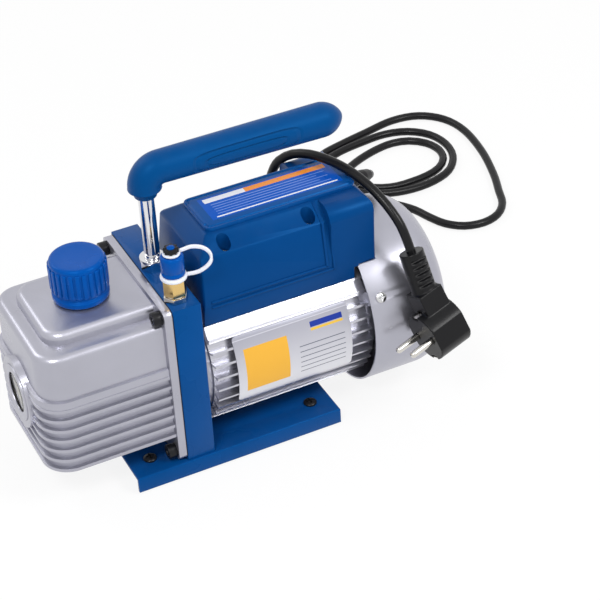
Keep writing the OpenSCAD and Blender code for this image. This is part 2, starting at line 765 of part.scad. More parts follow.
module vane(s) {
    z0 = sqrt(rotor_r * rotor_r - slot_w * slot_w / 4) - vane_h - 0.1;
    translate([x_st0 + 0.3, -slot_w / 2 + vane_gap, axis_h]) mirror([0, 0, s < 0 ? 1 : 0])
        translate([0, 0, z0]) difference() {
            cube([rotor_l - 0.5, slot_w - 2 * vane_gap, vane_h]);
            for (x = [rotor_l * 0.25, rotor_l * 0.75])
                translate([x, slot_w / 2 - vane_gap, -1]) cylinder(r = spring_r + 0.1, h = 4);
        }
}

module upper_vane() { color([0.25, 0.2, 0.15]) vane(1); }
module lower_vane() { color([0.25, 0.2, 0.15]) vane(-1); }

module vane_springs(s) {
    z1 = sqrt(rotor_r * rotor_r - slot_w * slot_w / 4) - vane_h - 0.1 + 3;
    for (x = [rotor_l * 0.25, rotor_l * 0.75])
        translate([x_st0 + 0.3 + x, 0, axis_h]) mirror([0, 0, s < 0 ? 1 : 0])
            translate([0, 0, slot_base + 0.05]) difference() {
                cylinder(r = spring_r, h = z1 - slot_base - 0.1);
                translate([0, 0, -1]) cylinder(r = spring_r - spring_wire, h = 12);
            }
}

module upper_vane_springs() { color([0.7, 0.7, 0.7]) vane_springs(1); }
module lower_vane_springs() { color([0.7, 0.7, 0.7]) vane_springs(-1); }

module shaft_coupling() {
    color([0.7, 0.6, 0.3]) at_shaft(x_br1 - 4) difference() {
        cylinder(r = 12, h = 8);
        translate([0, 0, 3.9]) cylinder(r = motor_shaft_r, h = 6);
    }
}

// ---------- motor ----------
module motor_shaft() {
    color([0.75, 0.75, 0.78]) at_shaft(x_br1) {
        cylinder(r = motor_shaft_r, h = x_blade0 + blade_l - 4 - x_br1);
    }
}

module motor_rotor() {
    color([0.55, 0.55, 0.58]) at_shaft(x_core0) difference() {
        cylinder(r = motor_rotor_r, h = x_core1 - x_core0);
        translate([0, 0, -1]) cylinder(r = motor_shaft_r, h = 200);
    }
}

module bearing(x) {
    color([0.8, 0.8, 0.82]) at_shaft(x) difference() {
        cylinder(r = bearing_r, h = bearing_w);
        translate([0, 0, -1]) cylinder(r = motor_shaft_r + shaft_gap, h = bearing_w + 2);
    }
}

module front_bearing() { bearing(x_mot0 + 3); }
module rear_bearing() { bearing(x_mot1 - 13); }

module motor_front_bell() {
    color([0.6, 0.6, 0.64]) difference() {
        union() {
            at_shaft(x_br1) cylinder(r = core_in_r + 2, h = bell_t);
            at_shaft(x_mot0) cylinder(r = bearing_r + 4, h = bearing_w + 3);
        }
        at_shaft(x_br1 - 1) cylinder(r = 14, h = bell_t + 2);
        at_shaft(x_mot0 + 3) cylinder(r = bearing_r, h = bearing_w + 1);
        at_shaft(x_mot0 - 1) cylinder(r = 14, h = 5);
    }
}

shelf_a = 38.6;
shelf_w = 10.4;
module motor_housing() {
    color([0.75, 0.75, 0.8]) difference() {
        push_x(x_mot0, x_mot1) translate([0, axis_h]) difference() {
            union() {
                circle(core_r);
                intersection() {
                    circle(fin_r);
                    for (i = [0 : fin_count / 2 - 1]) rotate((i + 0.5) * 360 / fin_count)
                        square([2 * fin_r, fin_t], center = true);
                }
                for (a = [shelf_a, 180 - shelf_a]) rotate(a) translate([0, -shelf_w / 2]) square([fin_r - 1.5, shelf_w]);
                for (a = [cover_screw_a, 180 - cover_screw_a]) rotate(a) translate([0, -4.5])
                    square([fin_r - 0.2, 9]);
                translate([-pad_w / 2, base_h - axis_h]) square([pad_w, 10]);
            }
            circle(core_in_r);
        }
        for (y = [-1, 1])
            translate([motor_bolt_x, y * motor_bolt_y, base_h - 1]) cylinder(r = motor_bolt_r, h = 6);
        recess_places() translate([0, 0, cover_screw_tip]) cylinder(r = cover_screw_r + 0.1, h = 30);
    }
}

module motor_rear_bell() {
    color([0.25, 0.25, 0.27]) difference() {
        union() {
            at_shaft(x_mot1) cylinder(r = core_r + 1, h = 4);
            at_shaft(x_mot1 - 16) cylinder(r = bearing_r + 4, h = 16);
            intersection() {
                for (a = fan_screw_angles) at_shaft(x_mot1) rotate(a)
                    translate([core_r - 4, -5, 0]) cube([fan_cover_r - core_r, 10, 2 * fan_screw_set]);
                at_shaft(x_mot1 - 1) cylinder(r = fan_cover_r - fan_cover_t - 0.05, h = 40);
            }
        }
        at_shaft(x_mot1 - 13) cylinder(r = bearing_r, h = bearing_w);
        at_shaft(x_mot1 - 18) cylinder(r = 12, h = 40);
        fan_screw_holes(fan_screw_r + 0.1);
    }
}

module fan_screw_holes(r) {
    for (a = fan_screw_angles) at_shaft(x_mot1 + fan_screw_set) rotate(a)
        translate([fan_cover_r - 10, 0, 0]) rotate([0, 90, 0]) cylinder(r = r, h = 20);
}

module stator_core() {
    color([0.5, 0.5, 0.52]) at_shaft(x_core0) difference() {
        cylinder(r = core_in_r - 0.05, h = x_core1 - x_core0);
        translate([0, 0, -1]) cylinder(r = stator_in_r, h = 200);
    }
}

module stator_windings() {
    color([0.7, 0.35, 0.15]) for (x = [x_core0 - winding_l, x_core1]) at_shaft(x) difference() {
        cylinder(r = core_in_r - winding_in, h = winding_l);
        translate([0, 0, -1]) cylinder(r = stator_in_r + winding_in, h = winding_l + 2);
    }
}

plate_a0 = -23;
plate_a1 = 33;
plate_x0 = x_mot0 + 15;
plate_l = 85;
plate_corner_r = 2.5;
module rating_plate() {
    plate_low = fin_r * sin(plate_a0);
    color([0.85, 0.85, 0.87]) intersection() {
        at_shaft(plate_x0) difference() {
            cylinder(r = fin_r + 0.6, h = plate_l);
            translate([0, 0, -1]) cylinder(r = fin_r + 0.05, h = plate_l + 2);
        }
        push_y(-fin_r - 2, 0) translate([plate_x0 + plate_corner_r, axis_h + plate_low + plate_corner_r])
            offset(r = plate_corner_r)
                square([plate_l - 2 * plate_corner_r, fin_r * sin(plate_a1) - plate_low - 2 * plate_corner_r]);
    }
}

module cooling_fan() {
    color([0.15, 0.15, 0.16]) {
        at_shaft(x_blade0 - 2) difference() {
            cylinder(r = fan_hub_r, h = blade_l - 4);
            translate([0, 0, -1]) cylinder(r = motor_shaft_r, h = 40);
        }
        at_shaft(x_blade0 - 2) difference() {
            cylinder(r = fan_r - 4, h = 2);
            translate([0, 0, -1]) cylinder(r = fan_hub_r - 0.1, h = 4);
        }
        for (i = [0 : blade_count - 1]) at_shaft(x_blade0 - 0.1) rotate(i * 360 / blade_count)
            translate([fan_hub_r - 0.5, -0.9, 0]) cube([fan_r - fan_hub_r + 0.5, 1.8, blade_l]);
    }
}

module fan_cover_outline(r, l, e) {
    polygon([[0, 0], [r, 0], [r, l - e], [r - e, l - e], [r - e, l], [0, l]]);
    translate([r - e, l - e]) circle(e);
}

module fan_cover() {
    color([0.78, 0.78, 0.83]) difference() {
        at_shaft(x_fan0) rotate_extrude() difference() {
            intersection() {
                fan_cover_outline(fan_cover_r, fan_cover_l, fan_cover_edge);
                square([fan_cover_r + 1, fan_cover_l + 1]);
            }
            translate([0, -1]) intersection() {
                fan_cover_outline(fan_cover_r - fan_cover_t, fan_cover_l - fan_cover_t + 1,
                    fan_cover_edge - fan_cover_t);
                square([fan_cover_r + 1, fan_cover_l + 1]);
            }
        }
        for (r = [12, 20, 28], n = [round(r * 0.66)], i = [0 : n - 1])
            at_shaft(x_fan1 - 6) rotate(i * 360 / n) translate([r, 0, 0]) cylinder(r = 3, h = 10);
        fan_screw_holes(fan_screw_r + hole_play);
    }
}

module fan_cover_screws() {
    color([0.8, 0.8, 0.83]) for (a = fan_screw_angles) at_shaft(x_mot1 + fan_screw_set) rotate(a)
        translate([fan_cover_r, 0, 0]) rotate([0, 90, 0]) pan_screw(3.8, 2.2, fan_screw_r, 8);
}

// ---------- top cover ----------
// Outline across the cover in front of its shoulder, inset by d
module cover_yz(d) {
    half = [[cover_y - d, cover_z0 - 1], [cover_y - d, lean_z], [fold_y - d, fold_h - 0.6 * d],
        [slope_y - 0.3 * d, cover_h - d]];
    polygon(concat(half, [for (i = [len(half) - 1 : -1 : 0]) [-half[i][0], half[i][1]]]));
}

module shoulder_yz(d) {
    translate([-cover_y + d, cover_z0 - 1]) square([2 * (cover_y - d), cover_h - shoulder_r - cover_z0 + 1]);
    translate([-cover_y + shoulder_r, cover_h - shoulder_r - 1])
        square([2 * (cover_y - shoulder_r), shoulder_r + 1 - d]);
    for (s = [-1, 1]) translate([s * (cover_y - shoulder_r), cover_h - shoulder_r])
        circle(shoulder_r - d);
}

// Outline along the cover's front part: an upright face that leans back, then the nose
module cover_xz(d, x1) {
    polygon([[x_cov0 + d, cover_z0 - 2], [x_cov0 + nose_lean + d, fold_h - 0.4 * d],
        [lid_x0 + 0.4 * d, cover_h + 1 - d], [x1, cover_h + 1 - d], [x1, cover_z0 - 2]]);
}

module cover_solid(d) {
    intersection() {
        push_x(x_cov0 + d, panel_x1 + 2 * d) cover_yz(d);
        push_y(-cover_y, cover_y) cover_xz(d, panel_x1 + 2 * d + 1);
    }
    push_x(panel_x1 + d, x_cov1 - rear_r) shoulder_yz(d);
    intersection() {
        push_x(x_cov1 - rear_r - 1, x_cov1 - d) shoulder_yz(d);
        push_y(-cover_y, cover_y) {
            translate([x_cov1 - rear_r - 2, cover_z0 - 2]) square([rear_r + 2 - d, cover_h - rear_r - cover_z0 + 2]);
            translate([x_cov1 - rear_r - 2, cover_h - rear_r - 3]) square([2, rear_r + 3 - d]);
            translate([x_cov1 - rear_r, cover_h - rear_r]) circle(rear_r - d);
        }
    }
}

module recess_places() {
    for (x = cover_screw_x, s = [-1, 1]) translate([x, s * cover_screw_y, 0]) children();
}

module pocket_outline() {
    for (s = [-1, 1]) translate([0, s * pocket_slot / 2]) circle(pocket_r);
    square([2 * pocket_r, pocket_slot], center = true);
}

module top_cover() {
    color([0.02, 0.28, 0.55]) difference() {
        cover_solid(0);
        difference() {
            cover_solid(cover_t);
            recess_places() cylinder(r = pillar_r, h = 2 * cover_h);
        }
        translate([x_cov0 - 5, -cover_y - 5, cover_z0 - 10])
            cube([x_cov1 - x_cov0 + 10, 2 * cover_y + 10, 10]);
        translate([step_x, -cover_y - 5, cover_z0 - 10]) cube([60, 2 * cover_y + 10, step_z - cover_z0 + 10]);
        recess_places() translate([0, 0, cover_seat_z]) linear_extrude(40) pocket_outline();
        recess_places() cylinder(r = cover_screw_r + 0.2, h = 2 * cover_h);
        at_shaft(x_fan0 - 3) cylinder(r = fan_cover_r + 0.4, h = 40);
        at_shaft(x_cov0 - 1) cylinder(r = fin_r + 0.3, h = x_cov1 - x_cov0);
        along_x(x_cov1 - cover_t - 1, gland_y, gland_z) cylinder(r = gland_r - 1.9, h = 10);
        translate([x_cov1 - 8, switch_y - 6.6, switch_z - 10.6]) cube([20, 13.2, 21.2]);
    }
}

module lid_panel() {
    color([0.02, 0.3, 0.6]) translate([(lid_x0 + lid_x1) / 2, 0, cover_h]) {
        linear_extrude(lid_t - 1) rrect(lid_x1 - lid_x0, lid_w, 5);
        translate([0, 0, lid_t - 1.01]) linear_extrude(1.01) rrect(lid_x1 - lid_x0 - 4, lid_w - 4, 4);
    }
}

cover_screw_tip = axis_h + fin_r * sin(cover_screw_a) - 8;
module cover_screws() {
    color([0.8, 0.8, 0.82]) recess_places() translate([0, 0, cover_seat_z])
        pan_screw(4, 2.5, cover_screw_r, cover_seat_z - cover_screw_tip);
}

cap_r = 17;
cap_l = 66;
cap_z = 143;
module run_capacitor() {
    color([0.9, 0.9, 0.9]) along_x(x_mot0 + 20, 0, cap_z) {
        cylinder(r = cap_r, h = cap_l);
        for (y = [-5, 5]) translate([0, y, cap_l]) cylinder(r = 1.5, h = 7);
    }
}

module capacitor_clip() {
    color([0.7, 0.7, 0.72]) along_x(x_mot0 + 46, 0, cap_z) difference() {
        union() {
            cylinder(r = cap_r + 1.2, h = 12);
            translate([cap_r - 1, -8, 0]) cube([cap_z - axis_h - fin_r - cap_r + 3, 16, 12]);
        }
        translate([0, 0, -1]) cylinder(r = cap_r + 0.02, h = 14);
        translate([cap_z - axis_h, 0, -1]) cylinder(r = fin_r + 0.05, h = 14);
    }
}

module switch_body() {
    color([0.08, 0.08, 0.09]) difference() {
        union() {
            translate([x_cov1 - 12, switch_y - 6.4, switch_z - 10.4]) cube([12.4, 12.8, 20.8]);
            translate([x_cov1 + 0.1, switch_y - 8, switch_z - 12]) cube([1.6, 16, 24]);
        }
        translate([x_cov1 - 5, switch_y - 5, switch_z - 9]) cube([10, 10, 18]);
    }
}

rocker_pivot = 1;
module switch_rocker() {
    color([0.1, 0.1, 0.1]) translate([x_cov1 - rocker_pivot, switch_y, switch_z]) rotate([0, -8, 0])
        push_y(-4.7, 4.7) polygon([[-2, -3], [0.5, -8.2], [3.6, -8.2], [2.4, 0], [3.6, 8.2], [0.5, 8.2], [-2, 3]]);
}

// ---------- cord ----------
// The strain relief bends with the lead, towards the far side and down
relief_bend_r = 28;
relief_side = [0, 0.82, -0.572];
function relief_at(a) = [x_cov1 + 4 + relief_bend_r * sin(a), gland_y, gland_z]
    + relief_bend_r * (1 - cos(a)) * relief_side;

module cord_gland() {
    color([0.12, 0.12, 0.13]) {
        along_x(x_cov1 - cover_t - 2, gland_y, gland_z) cylinder(r = gland_r - 2, h = cover_t + 3);
        along_x(x_cov1, gland_y, gland_z) cylinder(r = gland_r + 1, h = 4.5);
        sweep([for (a = [0 : 15 : 45]) relief_at(a)], gland_r - 1, 16, 10, cord_d / 2 + 0.9);
    }
}

// A point in the plug's own frame, in the pump's frame
function turn_x(a, v) = [v[0], v[1] * cos(a) - v[2] * sin(a), v[1] * sin(a) + v[2] * cos(a)];
function turn_y(a, v) = [v[0] * cos(a) + v[2] * sin(a), v[1], v[2] * cos(a) - v[0] * sin(a)];
function turn_z(a, v) = [v[0] * cos(a) - v[1] * sin(a), v[0] * sin(a) + v[1] * cos(a), v[2]];
function on_plug(v) = plug_at + turn_z(plug_turn[2], turn_y(plug_turn[1], turn_x(plug_turn[0], v)));

module power_cord() {
    color([0.05, 0.05, 0.06])
        sweep(concat(cord_route, [on_plug(on_sleeve(sleeve_l + 9)), on_plug(on_sleeve(sleeve_l))]),
            cord_d / 2, cord_sides, cord_step);
}

plug_at = [113, -82.6, 72.4];
plug_turn = [104, -22, -85];
plug_r = 17.5;
plug_depth = 26;
plug_mid = -14;
sleeve_tilt = 8;
sleeve_root = [0, 18, plug_mid];
pin_gap = 19;
pin_l = 19;
pin_r = 2.4;
module place_plug() {
    translate(plug_at) rotate(plug_turn) children();
}

// The sleeve leans back from the pins; y is measured along it from its root
function on_sleeve(y) = sleeve_root + [0, y * cos(sleeve_tilt), -y * sin(sleeve_tilt)];
module on_plug_sleeve(y) {
    translate(on_sleeve(y)) rotate([-90 - sleeve_tilt, 0, 0]) children();
}

sleeve_l = 40;
sleeve_grooves = 5;
module plug_body() {
    color([0.1, 0.1, 0.11]) place_plug() difference() {
        union() {
            intersection() {
                translate([0, 0, -plug_depth]) cylinder(r = plug_r, h = plug_depth);
                translate([-plug_r + 1.5, -plug_r, -plug_depth]) cube([2 * plug_r - 3, 2 * plug_r, plug_depth]);
            }
            translate([-9.5, 6, -plug_depth + 1.5]) cube([19, 24, plug_depth - 7]);
            on_plug_sleeve(4) cylinder(r = 8.6, h = sleeve_l - 4);
        }
        for (s = [-1, 1]) translate([s * pin_gap / 2, 0, -8]) cylinder(r = pin_r, h = 10);
        for (s = [-1, 1]) translate([-3, s * (plug_r - 1.4) - 1.5, -12]) cube([6, 3, 14]);
        for (s = [-1, 1], i = [0 : sleeve_grooves - 1]) on_plug_sleeve(16 + i * 4.4)
            translate([s * 7.6 - 1.8, -9, 0]) cube([3.6, 18, 1.8]);
    }
}

module plug_pins() {
    color([0.75, 0.72, 0.68]) place_plug() for (s = [-1, 1])
        translate([s * pin_gap / 2, 0, -8]) {
            cylinder(r = pin_r, h = 8 + pin_l - pin_r);
            translate([0, 0, 8 + pin_l - pin_r]) sphere(r = pin_r);
        }
}

module plug_earth_clips() {
    color([0.75, 0.74, 0.7]) place_plug() for (s = [-1, 1])
        translate([-2.5, s * (plug_r - 1.2) - 0.4, -11.5]) cube([5, 0.8, 11]);
}

base_plate();
rubber_feet();
foot_screws();
block_bolts();
motor_foot_screws();
pump_bracket();
case_gasket();
oil_case();
case_screws();
drain_plug();
sight_glass_bezel();
sight_glass_lens();
oil_fill_cap();
fill_cap_seal();
handle_nut();
handle_post();
handle_grip();
intake_adapter();
intake_fitting();
intake_cap();
cap_knob();
cap_strap();
pump_stator();
pump_end_plate();
pump_screws();
exhaust_reed();
shaft_seal();
pump_rotor();
upper_vane();
lower_vane();
upper_vane_springs();
lower_vane_springs();
shaft_coupling();
motor_shaft();
motor_rotor();
front_bearing();
rear_bearing();
motor_front_bell();
motor_housing();
motor_rear_bell();
stator_core();
stator_windings();
rating_plate();
cooling_fan();
fan_cover();
fan_cover_screws();
top_cover();
lid_panel();
cover_screws();
run_capacitor();
capacitor_clip();
switch_body();
switch_rocker();
cord_gland();
power_cord();
plug_body();
plug_pins();
plug_earth_clips();
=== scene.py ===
# %% [markdown]
# # A rotary vane vacuum pump
# A small service pump: an oil case at the front, a finned motor behind it, a fan cover at the back, and
# a carry handle over the top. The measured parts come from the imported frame. Each lesson below gives
# one of them its finish, or models a finer piece that stands for it.

import json
import math

import bmesh
import bpy
from mathutils import Matrix, Vector


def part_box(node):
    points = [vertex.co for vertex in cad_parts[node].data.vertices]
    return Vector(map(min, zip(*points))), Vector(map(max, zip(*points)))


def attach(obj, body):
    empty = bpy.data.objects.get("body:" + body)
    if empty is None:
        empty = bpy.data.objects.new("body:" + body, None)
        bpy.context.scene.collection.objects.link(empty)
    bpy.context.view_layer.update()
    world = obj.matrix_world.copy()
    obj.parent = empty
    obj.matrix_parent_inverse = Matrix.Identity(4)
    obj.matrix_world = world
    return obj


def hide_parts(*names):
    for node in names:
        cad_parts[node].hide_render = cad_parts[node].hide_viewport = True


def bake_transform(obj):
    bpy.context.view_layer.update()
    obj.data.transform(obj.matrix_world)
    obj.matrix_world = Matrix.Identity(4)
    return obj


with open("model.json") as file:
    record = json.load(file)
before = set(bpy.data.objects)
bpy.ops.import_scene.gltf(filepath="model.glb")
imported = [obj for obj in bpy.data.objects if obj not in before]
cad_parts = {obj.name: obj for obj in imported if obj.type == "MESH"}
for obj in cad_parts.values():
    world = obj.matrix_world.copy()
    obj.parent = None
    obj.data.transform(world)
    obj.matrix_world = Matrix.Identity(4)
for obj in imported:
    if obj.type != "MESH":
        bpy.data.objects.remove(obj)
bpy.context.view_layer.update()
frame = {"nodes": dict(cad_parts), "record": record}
behaviour = frame["record"]["behaviour"]
body_of = {node: body for body, nodes in behaviour["bodies"].items() for node in nodes}
slot_of = {part["node"]: part["material_slot"] for part in frame["record"]["subparts"]}

# %% [markdown]
# ## Camera
# A catalogue picture is taken with a long lens from above the front corner, so that upright edges stay
# nearly parallel. The direction is given as two angles and a small roll, and the matrix is built from
# them, which keeps the three axes exactly square to each other.

# %% The camera
azimuth = math.radians(-23.966)
elevation = math.radians(35.826)
roll = math.radians(-3.626)
back = Vector((
    math.sin(azimuth) * math.cos(elevation),
    -math.cos(azimuth) * math.cos(elevation),
    math.sin(elevation)))
level = Vector((math.cos(azimuth), math.sin(azimuth), 0))
right = level * math.cos(roll) + back.cross(level) * math.sin(roll)
camera = bpy.data.objects.new("camera", bpy.data.cameras.new("camera"))
bpy.context.scene.collection.objects.link(camera)
turn = Matrix((right, back.cross(right), back)).transposed().to_4x4()
camera.matrix_world = Matrix.Translation((-0.40905, -1.05365, 0.90444)) @ turn
camera.data.lens = 122.476
camera.data.sensor_width = 36
bpy.context.scene.camera = camera
print("camera looks along", [round(v, 3) for v in -back])

# %% [markdown]
# ## The mains lead
# The lead leaves the strain relief, drops behind the fan cover, lies on the floor in three nested
# loops, and comes back over the cover to its plug. A few listed points carry it, and a
# Catmull-Rom curve passes through all of them, so the lead stays one smooth line. It is drawn as a
# curve with a round bevel, because a curve keeps its own centreline and so its real length.

# %% The lead's route
lead_d = 0.0065
plug_at = Vector((0.113, -0.0826, 0.0724))
plug_turn = [math.radians(a) for a in (104, -22, -85)]
sleeve_root = Vector((0, 0.018, -0.014))
sleeve_tilt = math.radians(8)
plug_matrix = (
    Matrix.Translation(plug_at)
    @ Matrix.Rotation(plug_turn[2], 4, "Z")
    @ Matrix.Rotation(plug_turn[1], 4, "Y")
    @ Matrix.Rotation(plug_turn[0], 4, "X"))


def on_sleeve(distance):
    """A point on the axis of the plug's sleeve, in the pump's frame."""
    along = Vector((0, math.cos(sleeve_tilt), -math.sin(sleeve_tilt)))
    return plug_matrix @ (sleeve_root + along * distance)


lead_points = [
    (124, 16.7, 145.3), (128, 22.4, 141.2), (131, 30, 135.6), (132.2, 39, 128.8), (132.4, 50, 119),
    (131.6, 62, 105.5), (130.6, 73.5, 83), (130.6, 82, 60), (131.2, 87, 41), (133.2, 92, 25),
    (137.6, 99.5, 12.6), (144.5, 110, 5.6), (153, 123.5, 3.6), (163, 140, 3.4), (173, 160, 3.4),
    (182, 181, 3.4), (190.5, 202, 3.4), (200, 219, 3.4), (213, 232, 3.4), (229, 241, 3.4),
    (248, 247.5, 3.4), (264, 249.5, 3.4), (278, 245.5, 3.4), (288.5, 235, 3.4), (292.5, 220.5, 3.4),
    (288.5, 206, 3.4), (278, 195.5, 3.4), (264, 190.4, 3.4), (249.5, 188.8, 3.4), (236, 188.8, 3.6),
    (223, 190.5, 5.2), (208.5, 195.5, 8.4), (197, 206.8, 10.4), (191.8, 222.5, 8.4), (193.5, 238.5, 5),
    (203, 252.5, 3.5), (220, 260, 3.4), (243, 264, 3.4), (265, 265.5, 3.4), (284, 259.5, 3.4),
    (297.5, 245.5, 3.4), (302, 226, 3.4), (297.5, 205.5, 3.4), (284, 188.5, 3.4), (265, 180.4, 3.4),
    (245, 178.5, 3.6), (225, 181, 4.8), (205.5, 187, 8), (191, 199.5, 10.4), (183, 216.5, 8),
    (183, 235, 4.4), (190.5, 251.5, 3.4), (205, 263.5, 3.4), (226, 270, 3.4), (252, 276, 3.4),
    (281, 282, 3.4), (304.5, 277.5, 3.4), (320.5, 261, 3.4), (326, 236, 3.4), (322, 200, 3.4),
    (312.5, 165, 3.4), (303.5, 141.5, 3.4), (296.5, 124, 3.4), (285, 112, 3.4), (270, 107.5, 3.4),
    (254.5, 111, 3.4), (243, 121.5, 3.4), (236.5, 136, 3.4), (231.5, 151, 3.4), (223, 164.5, 3.4),
    (212, 174, 4.4), (197, 179, 7.9), (181, 179.5, 10.4), (165, 175.8, 7.9), (149, 167, 4.2),
    (124, 150.5, 3.4), (100, 131.5, 3.8), (83, 114.5, 7.5), (72, 100.5, 17), (66, 88.5, 33),
    (62.5, 75.5, 60), (61.8, 64, 95), (63, 54, 126), (65, 47.2, 149), (68.4, 40.4, 162),
    (74.2, 30, 170.8), (81.5, 18.8, 174.3), (88, 8, 174.4), (94, -3, 173), (99, -14, 170.4),
    (103.4, -25, 166.2), (107.2, -35.5, 160.6), (110.4, -44.8, 153.8), (112.9, -51.9, 146.2)]
route = [Vector(point) / 1000 for point in lead_points] + [on_sleeve(0.049), on_sleeve(0.04)]


def smooth_route(points, step):
    """Catmull-Rom points through a route, about one step apart."""
    found = []
    for i in range(len(points) - 1):
        a, b, c, d = (points[max(0, min(len(points) - 1, i + k))] for k in (-1, 0, 1, 2))
        count = max(1, round((c - b).length / step))
        for t in (k / count for k in range(count)):
            found.append(0.5 * (
                2 * b + (c - a) * t + (2 * a - 5 * b + 4 * c - d) * t * t
                + (3 * b - a - 3 * c + d) * t * t * t))
    return found + [points[-1]]


def round_curve(name, points, radius):
    """A curve object with a round section along the given points."""
    curve = bpy.data.curves.new(name, "CURVE")
    curve.dimensions = "3D"
    curve.bevel_depth = radius
    curve.bevel_resolution = 5
    curve.use_fill_caps = True
    line = curve.splines.new("POLY")
    line.points.add(len(points) - 1)
    for point, place in zip(line.points, points):
        point.co = (*place, 1)
    piece = bpy.data.objects.new(name, curve)
    bpy.context.scene.collection.objects.link(piece)
    return piece


lead_line = smooth_route(route, 0.006)
lead = round_curve("mains_lead", lead_line, lead_d / 2)

# %% [markdown]
# ## Floor, world and lamps
# The pump stands on a plain white sweep. The floor is seen almost as pure white, but it still takes the
# pump's shadow: Light Path tells camera and glossy rays from the rays that light the pump, so the
# background can be white while the lamps stay at a plain level.

# %% White floor and world
def seen_directly(tree):
    """A value that is 1 for camera, glossy and transmission rays."""
    path = tree.nodes.new("ShaderNodeLightPath")
    total = path.outputs["Is Camera Ray"]
    for name in ("Is Glossy Ray", "Is Transmission Ray"):
        add = tree.nodes.new("ShaderNodeMath")
        add.operation = "MAXIMUM"
        tree.links.new(total, add.inputs[0])
        tree.links.new(path.outputs[name], add.inputs[1])
        total = add.outputs[0]
    return total


world = bpy.data.worlds.new("studio")
bpy.context.scene.world = world
world.use_nodes = True
sky = world.node_tree.nodes["Background"]
sky.inputs["Color"].default_value = (1, 1, 1, 1)
strength = world.node_tree.nodes.new("ShaderNodeMapRange")
strength.inputs["To Min"].default_value = 0.62
strength.inputs["To Max"].default_value = 1.0
world.node_tree.links.new(seen_directly(world.node_tree), strength.inputs["Value"])
world.node_tree.links.new(strength.outputs[0], sky.inputs["Strength"])

bpy.ops.mesh.primitive_plane_add(size=8, location=(0, 0, -0.0002))
floor = bpy.context.object
floor.name = "floor"
paper = bpy.data.materials.new("white_paper")
paper.use_nodes = True
paper_nodes = paper.node_tree.nodes
paper_nodes["Principled BSDF"].inputs["Base Color"].default_value = (0.9, 0.9, 0.9, 1)
paper_nodes["Principled BSDF"].inputs["Roughness"].default_value = 0.9
glow = paper_nodes.new("ShaderNodeEmission")
glow.inputs["Color"].default_value = (1, 1, 1, 1)
blend_in = paper_nodes.new("ShaderNodeMixShader")
lift = paper_nodes.new("ShaderNodeMath")
lift.operation = "MULTIPLY"
lift.inputs[1].default_value = 0.86
paper.node_tree.links.new(seen_directly(paper.node_tree), lift.inputs[0])
paper.node_tree.links.new(lift.outputs[0], blend_in.inputs[0])
paper.node_tree.links.new(paper_nodes["Principled BSDF"].outputs[0], blend_in.inputs[1])
paper.node_tree.links.new(glow.outputs[0], blend_in.inputs[2])
paper.node_tree.links.new(blend_in.outputs[0], paper_nodes["Material Output"].inputs["Surface"])
floor.data.materials.append(paper)

# %% Soft lamps
def soft_lamp(name, place, aim, size, power):
    """A square area lamp at a place, turned to an aim point."""
    lamp = bpy.data.lights.new(name, "AREA")
    lamp.size = size
    lamp.energy = power
    holder = bpy.data.objects.new(name, lamp)
    bpy.context.scene.collection.objects.link(holder)
    holder.location = place
    holder.rotation_euler = (Vector(place) - Vector(aim)).to_track_quat("Z", "Y").to_euler()


middle = (0, 0, 0.1)
soft_lamp("key_lamp", (-0.75, -0.85, 1.5), middle, 0.45, 12)
soft_lamp("side_lamp", (0.65, -0.85, 1.1), middle, 0.5, 9)
soft_lamp("rear_lamp", (-0.8, 1.2, 1.4), middle, 0.8, 5)
bpy.context.scene.view_settings.view_transform = "Standard"

# %% [markdown]
# ## Shared surface effects
# Paint, castings and mouldings differ in the size of their grain, but the way that grain shows is the
# same, so each effect is one node group with its own inputs. Every group reads Object coordinates,
# which stay fixed to the part when it moves.

# %% Node group helpers
def new_group(name, inputs, outputs):
    """A shader node group with float inputs and float outputs."""
    tree = bpy.data.node_groups.new(name, "ShaderNodeTree")
    for label, value in inputs.items():
        socket = tree.interface.new_socket(name=label, in_out="INPUT", socket_type="NodeSocketFloat")
        socket.default_value = value
    for label in outputs:
        tree.interface.new_socket(name=label, in_out="OUTPUT", socket_type="NodeSocketFloat")
    return tree, tree.nodes.new("NodeGroupInput"), tree.nodes.new("NodeGroupOutput")


def add_noise(tree, vector, scale, detail=3.0, rough=0.55):
    """A noise texture on a vector, whose scale is a number or a socket."""
    noise = tree.nodes.new("ShaderNodeTexNoise")
    noise.inputs["Detail"].default_value = detail
    noise.inputs["Roughness"].default_value = rough
    tree.links.new(vector, noise.inputs["Vector"])
    if isinstance(scale, (int, float)):
        noise.inputs["Scale"].default_value = scale
    else:
        tree.links.new(scale, noise.inputs["Scale"])
    return noise.outputs[0]


def add_math(tree, operation, first, second):
    """A math node on two values, each a number or a socket."""
    node = tree.nodes.new("ShaderNodeMath")
    node.operation = operation
    for socket, value in zip(node.inputs, (first, second)):
        if isinstance(value, (int, float)):
            socket.default_value = value
        else:
            tree.links.new(value, socket)
    return node.outputs[0]


def add_range(tree, value, low, high, start=0.0, end=1.0):
    """Maps a value from start..end to low..high, each a number or a socket."""
    node = tree.nodes.new("ShaderNodeMapRange")
    node.inputs["From Min"].default_value = start
    node.inputs["From Max"].default_value = end
    tree.links.new(value, node.inputs["Value"])
    for label, limit in (("To Min", low), ("To Max", high)):
        if isinstance(limit, (int, float)):
            node.inputs[label].default_value = limit
        else:
            tree.links.new(limit, node.inputs[label])
    return node.outputs[0]


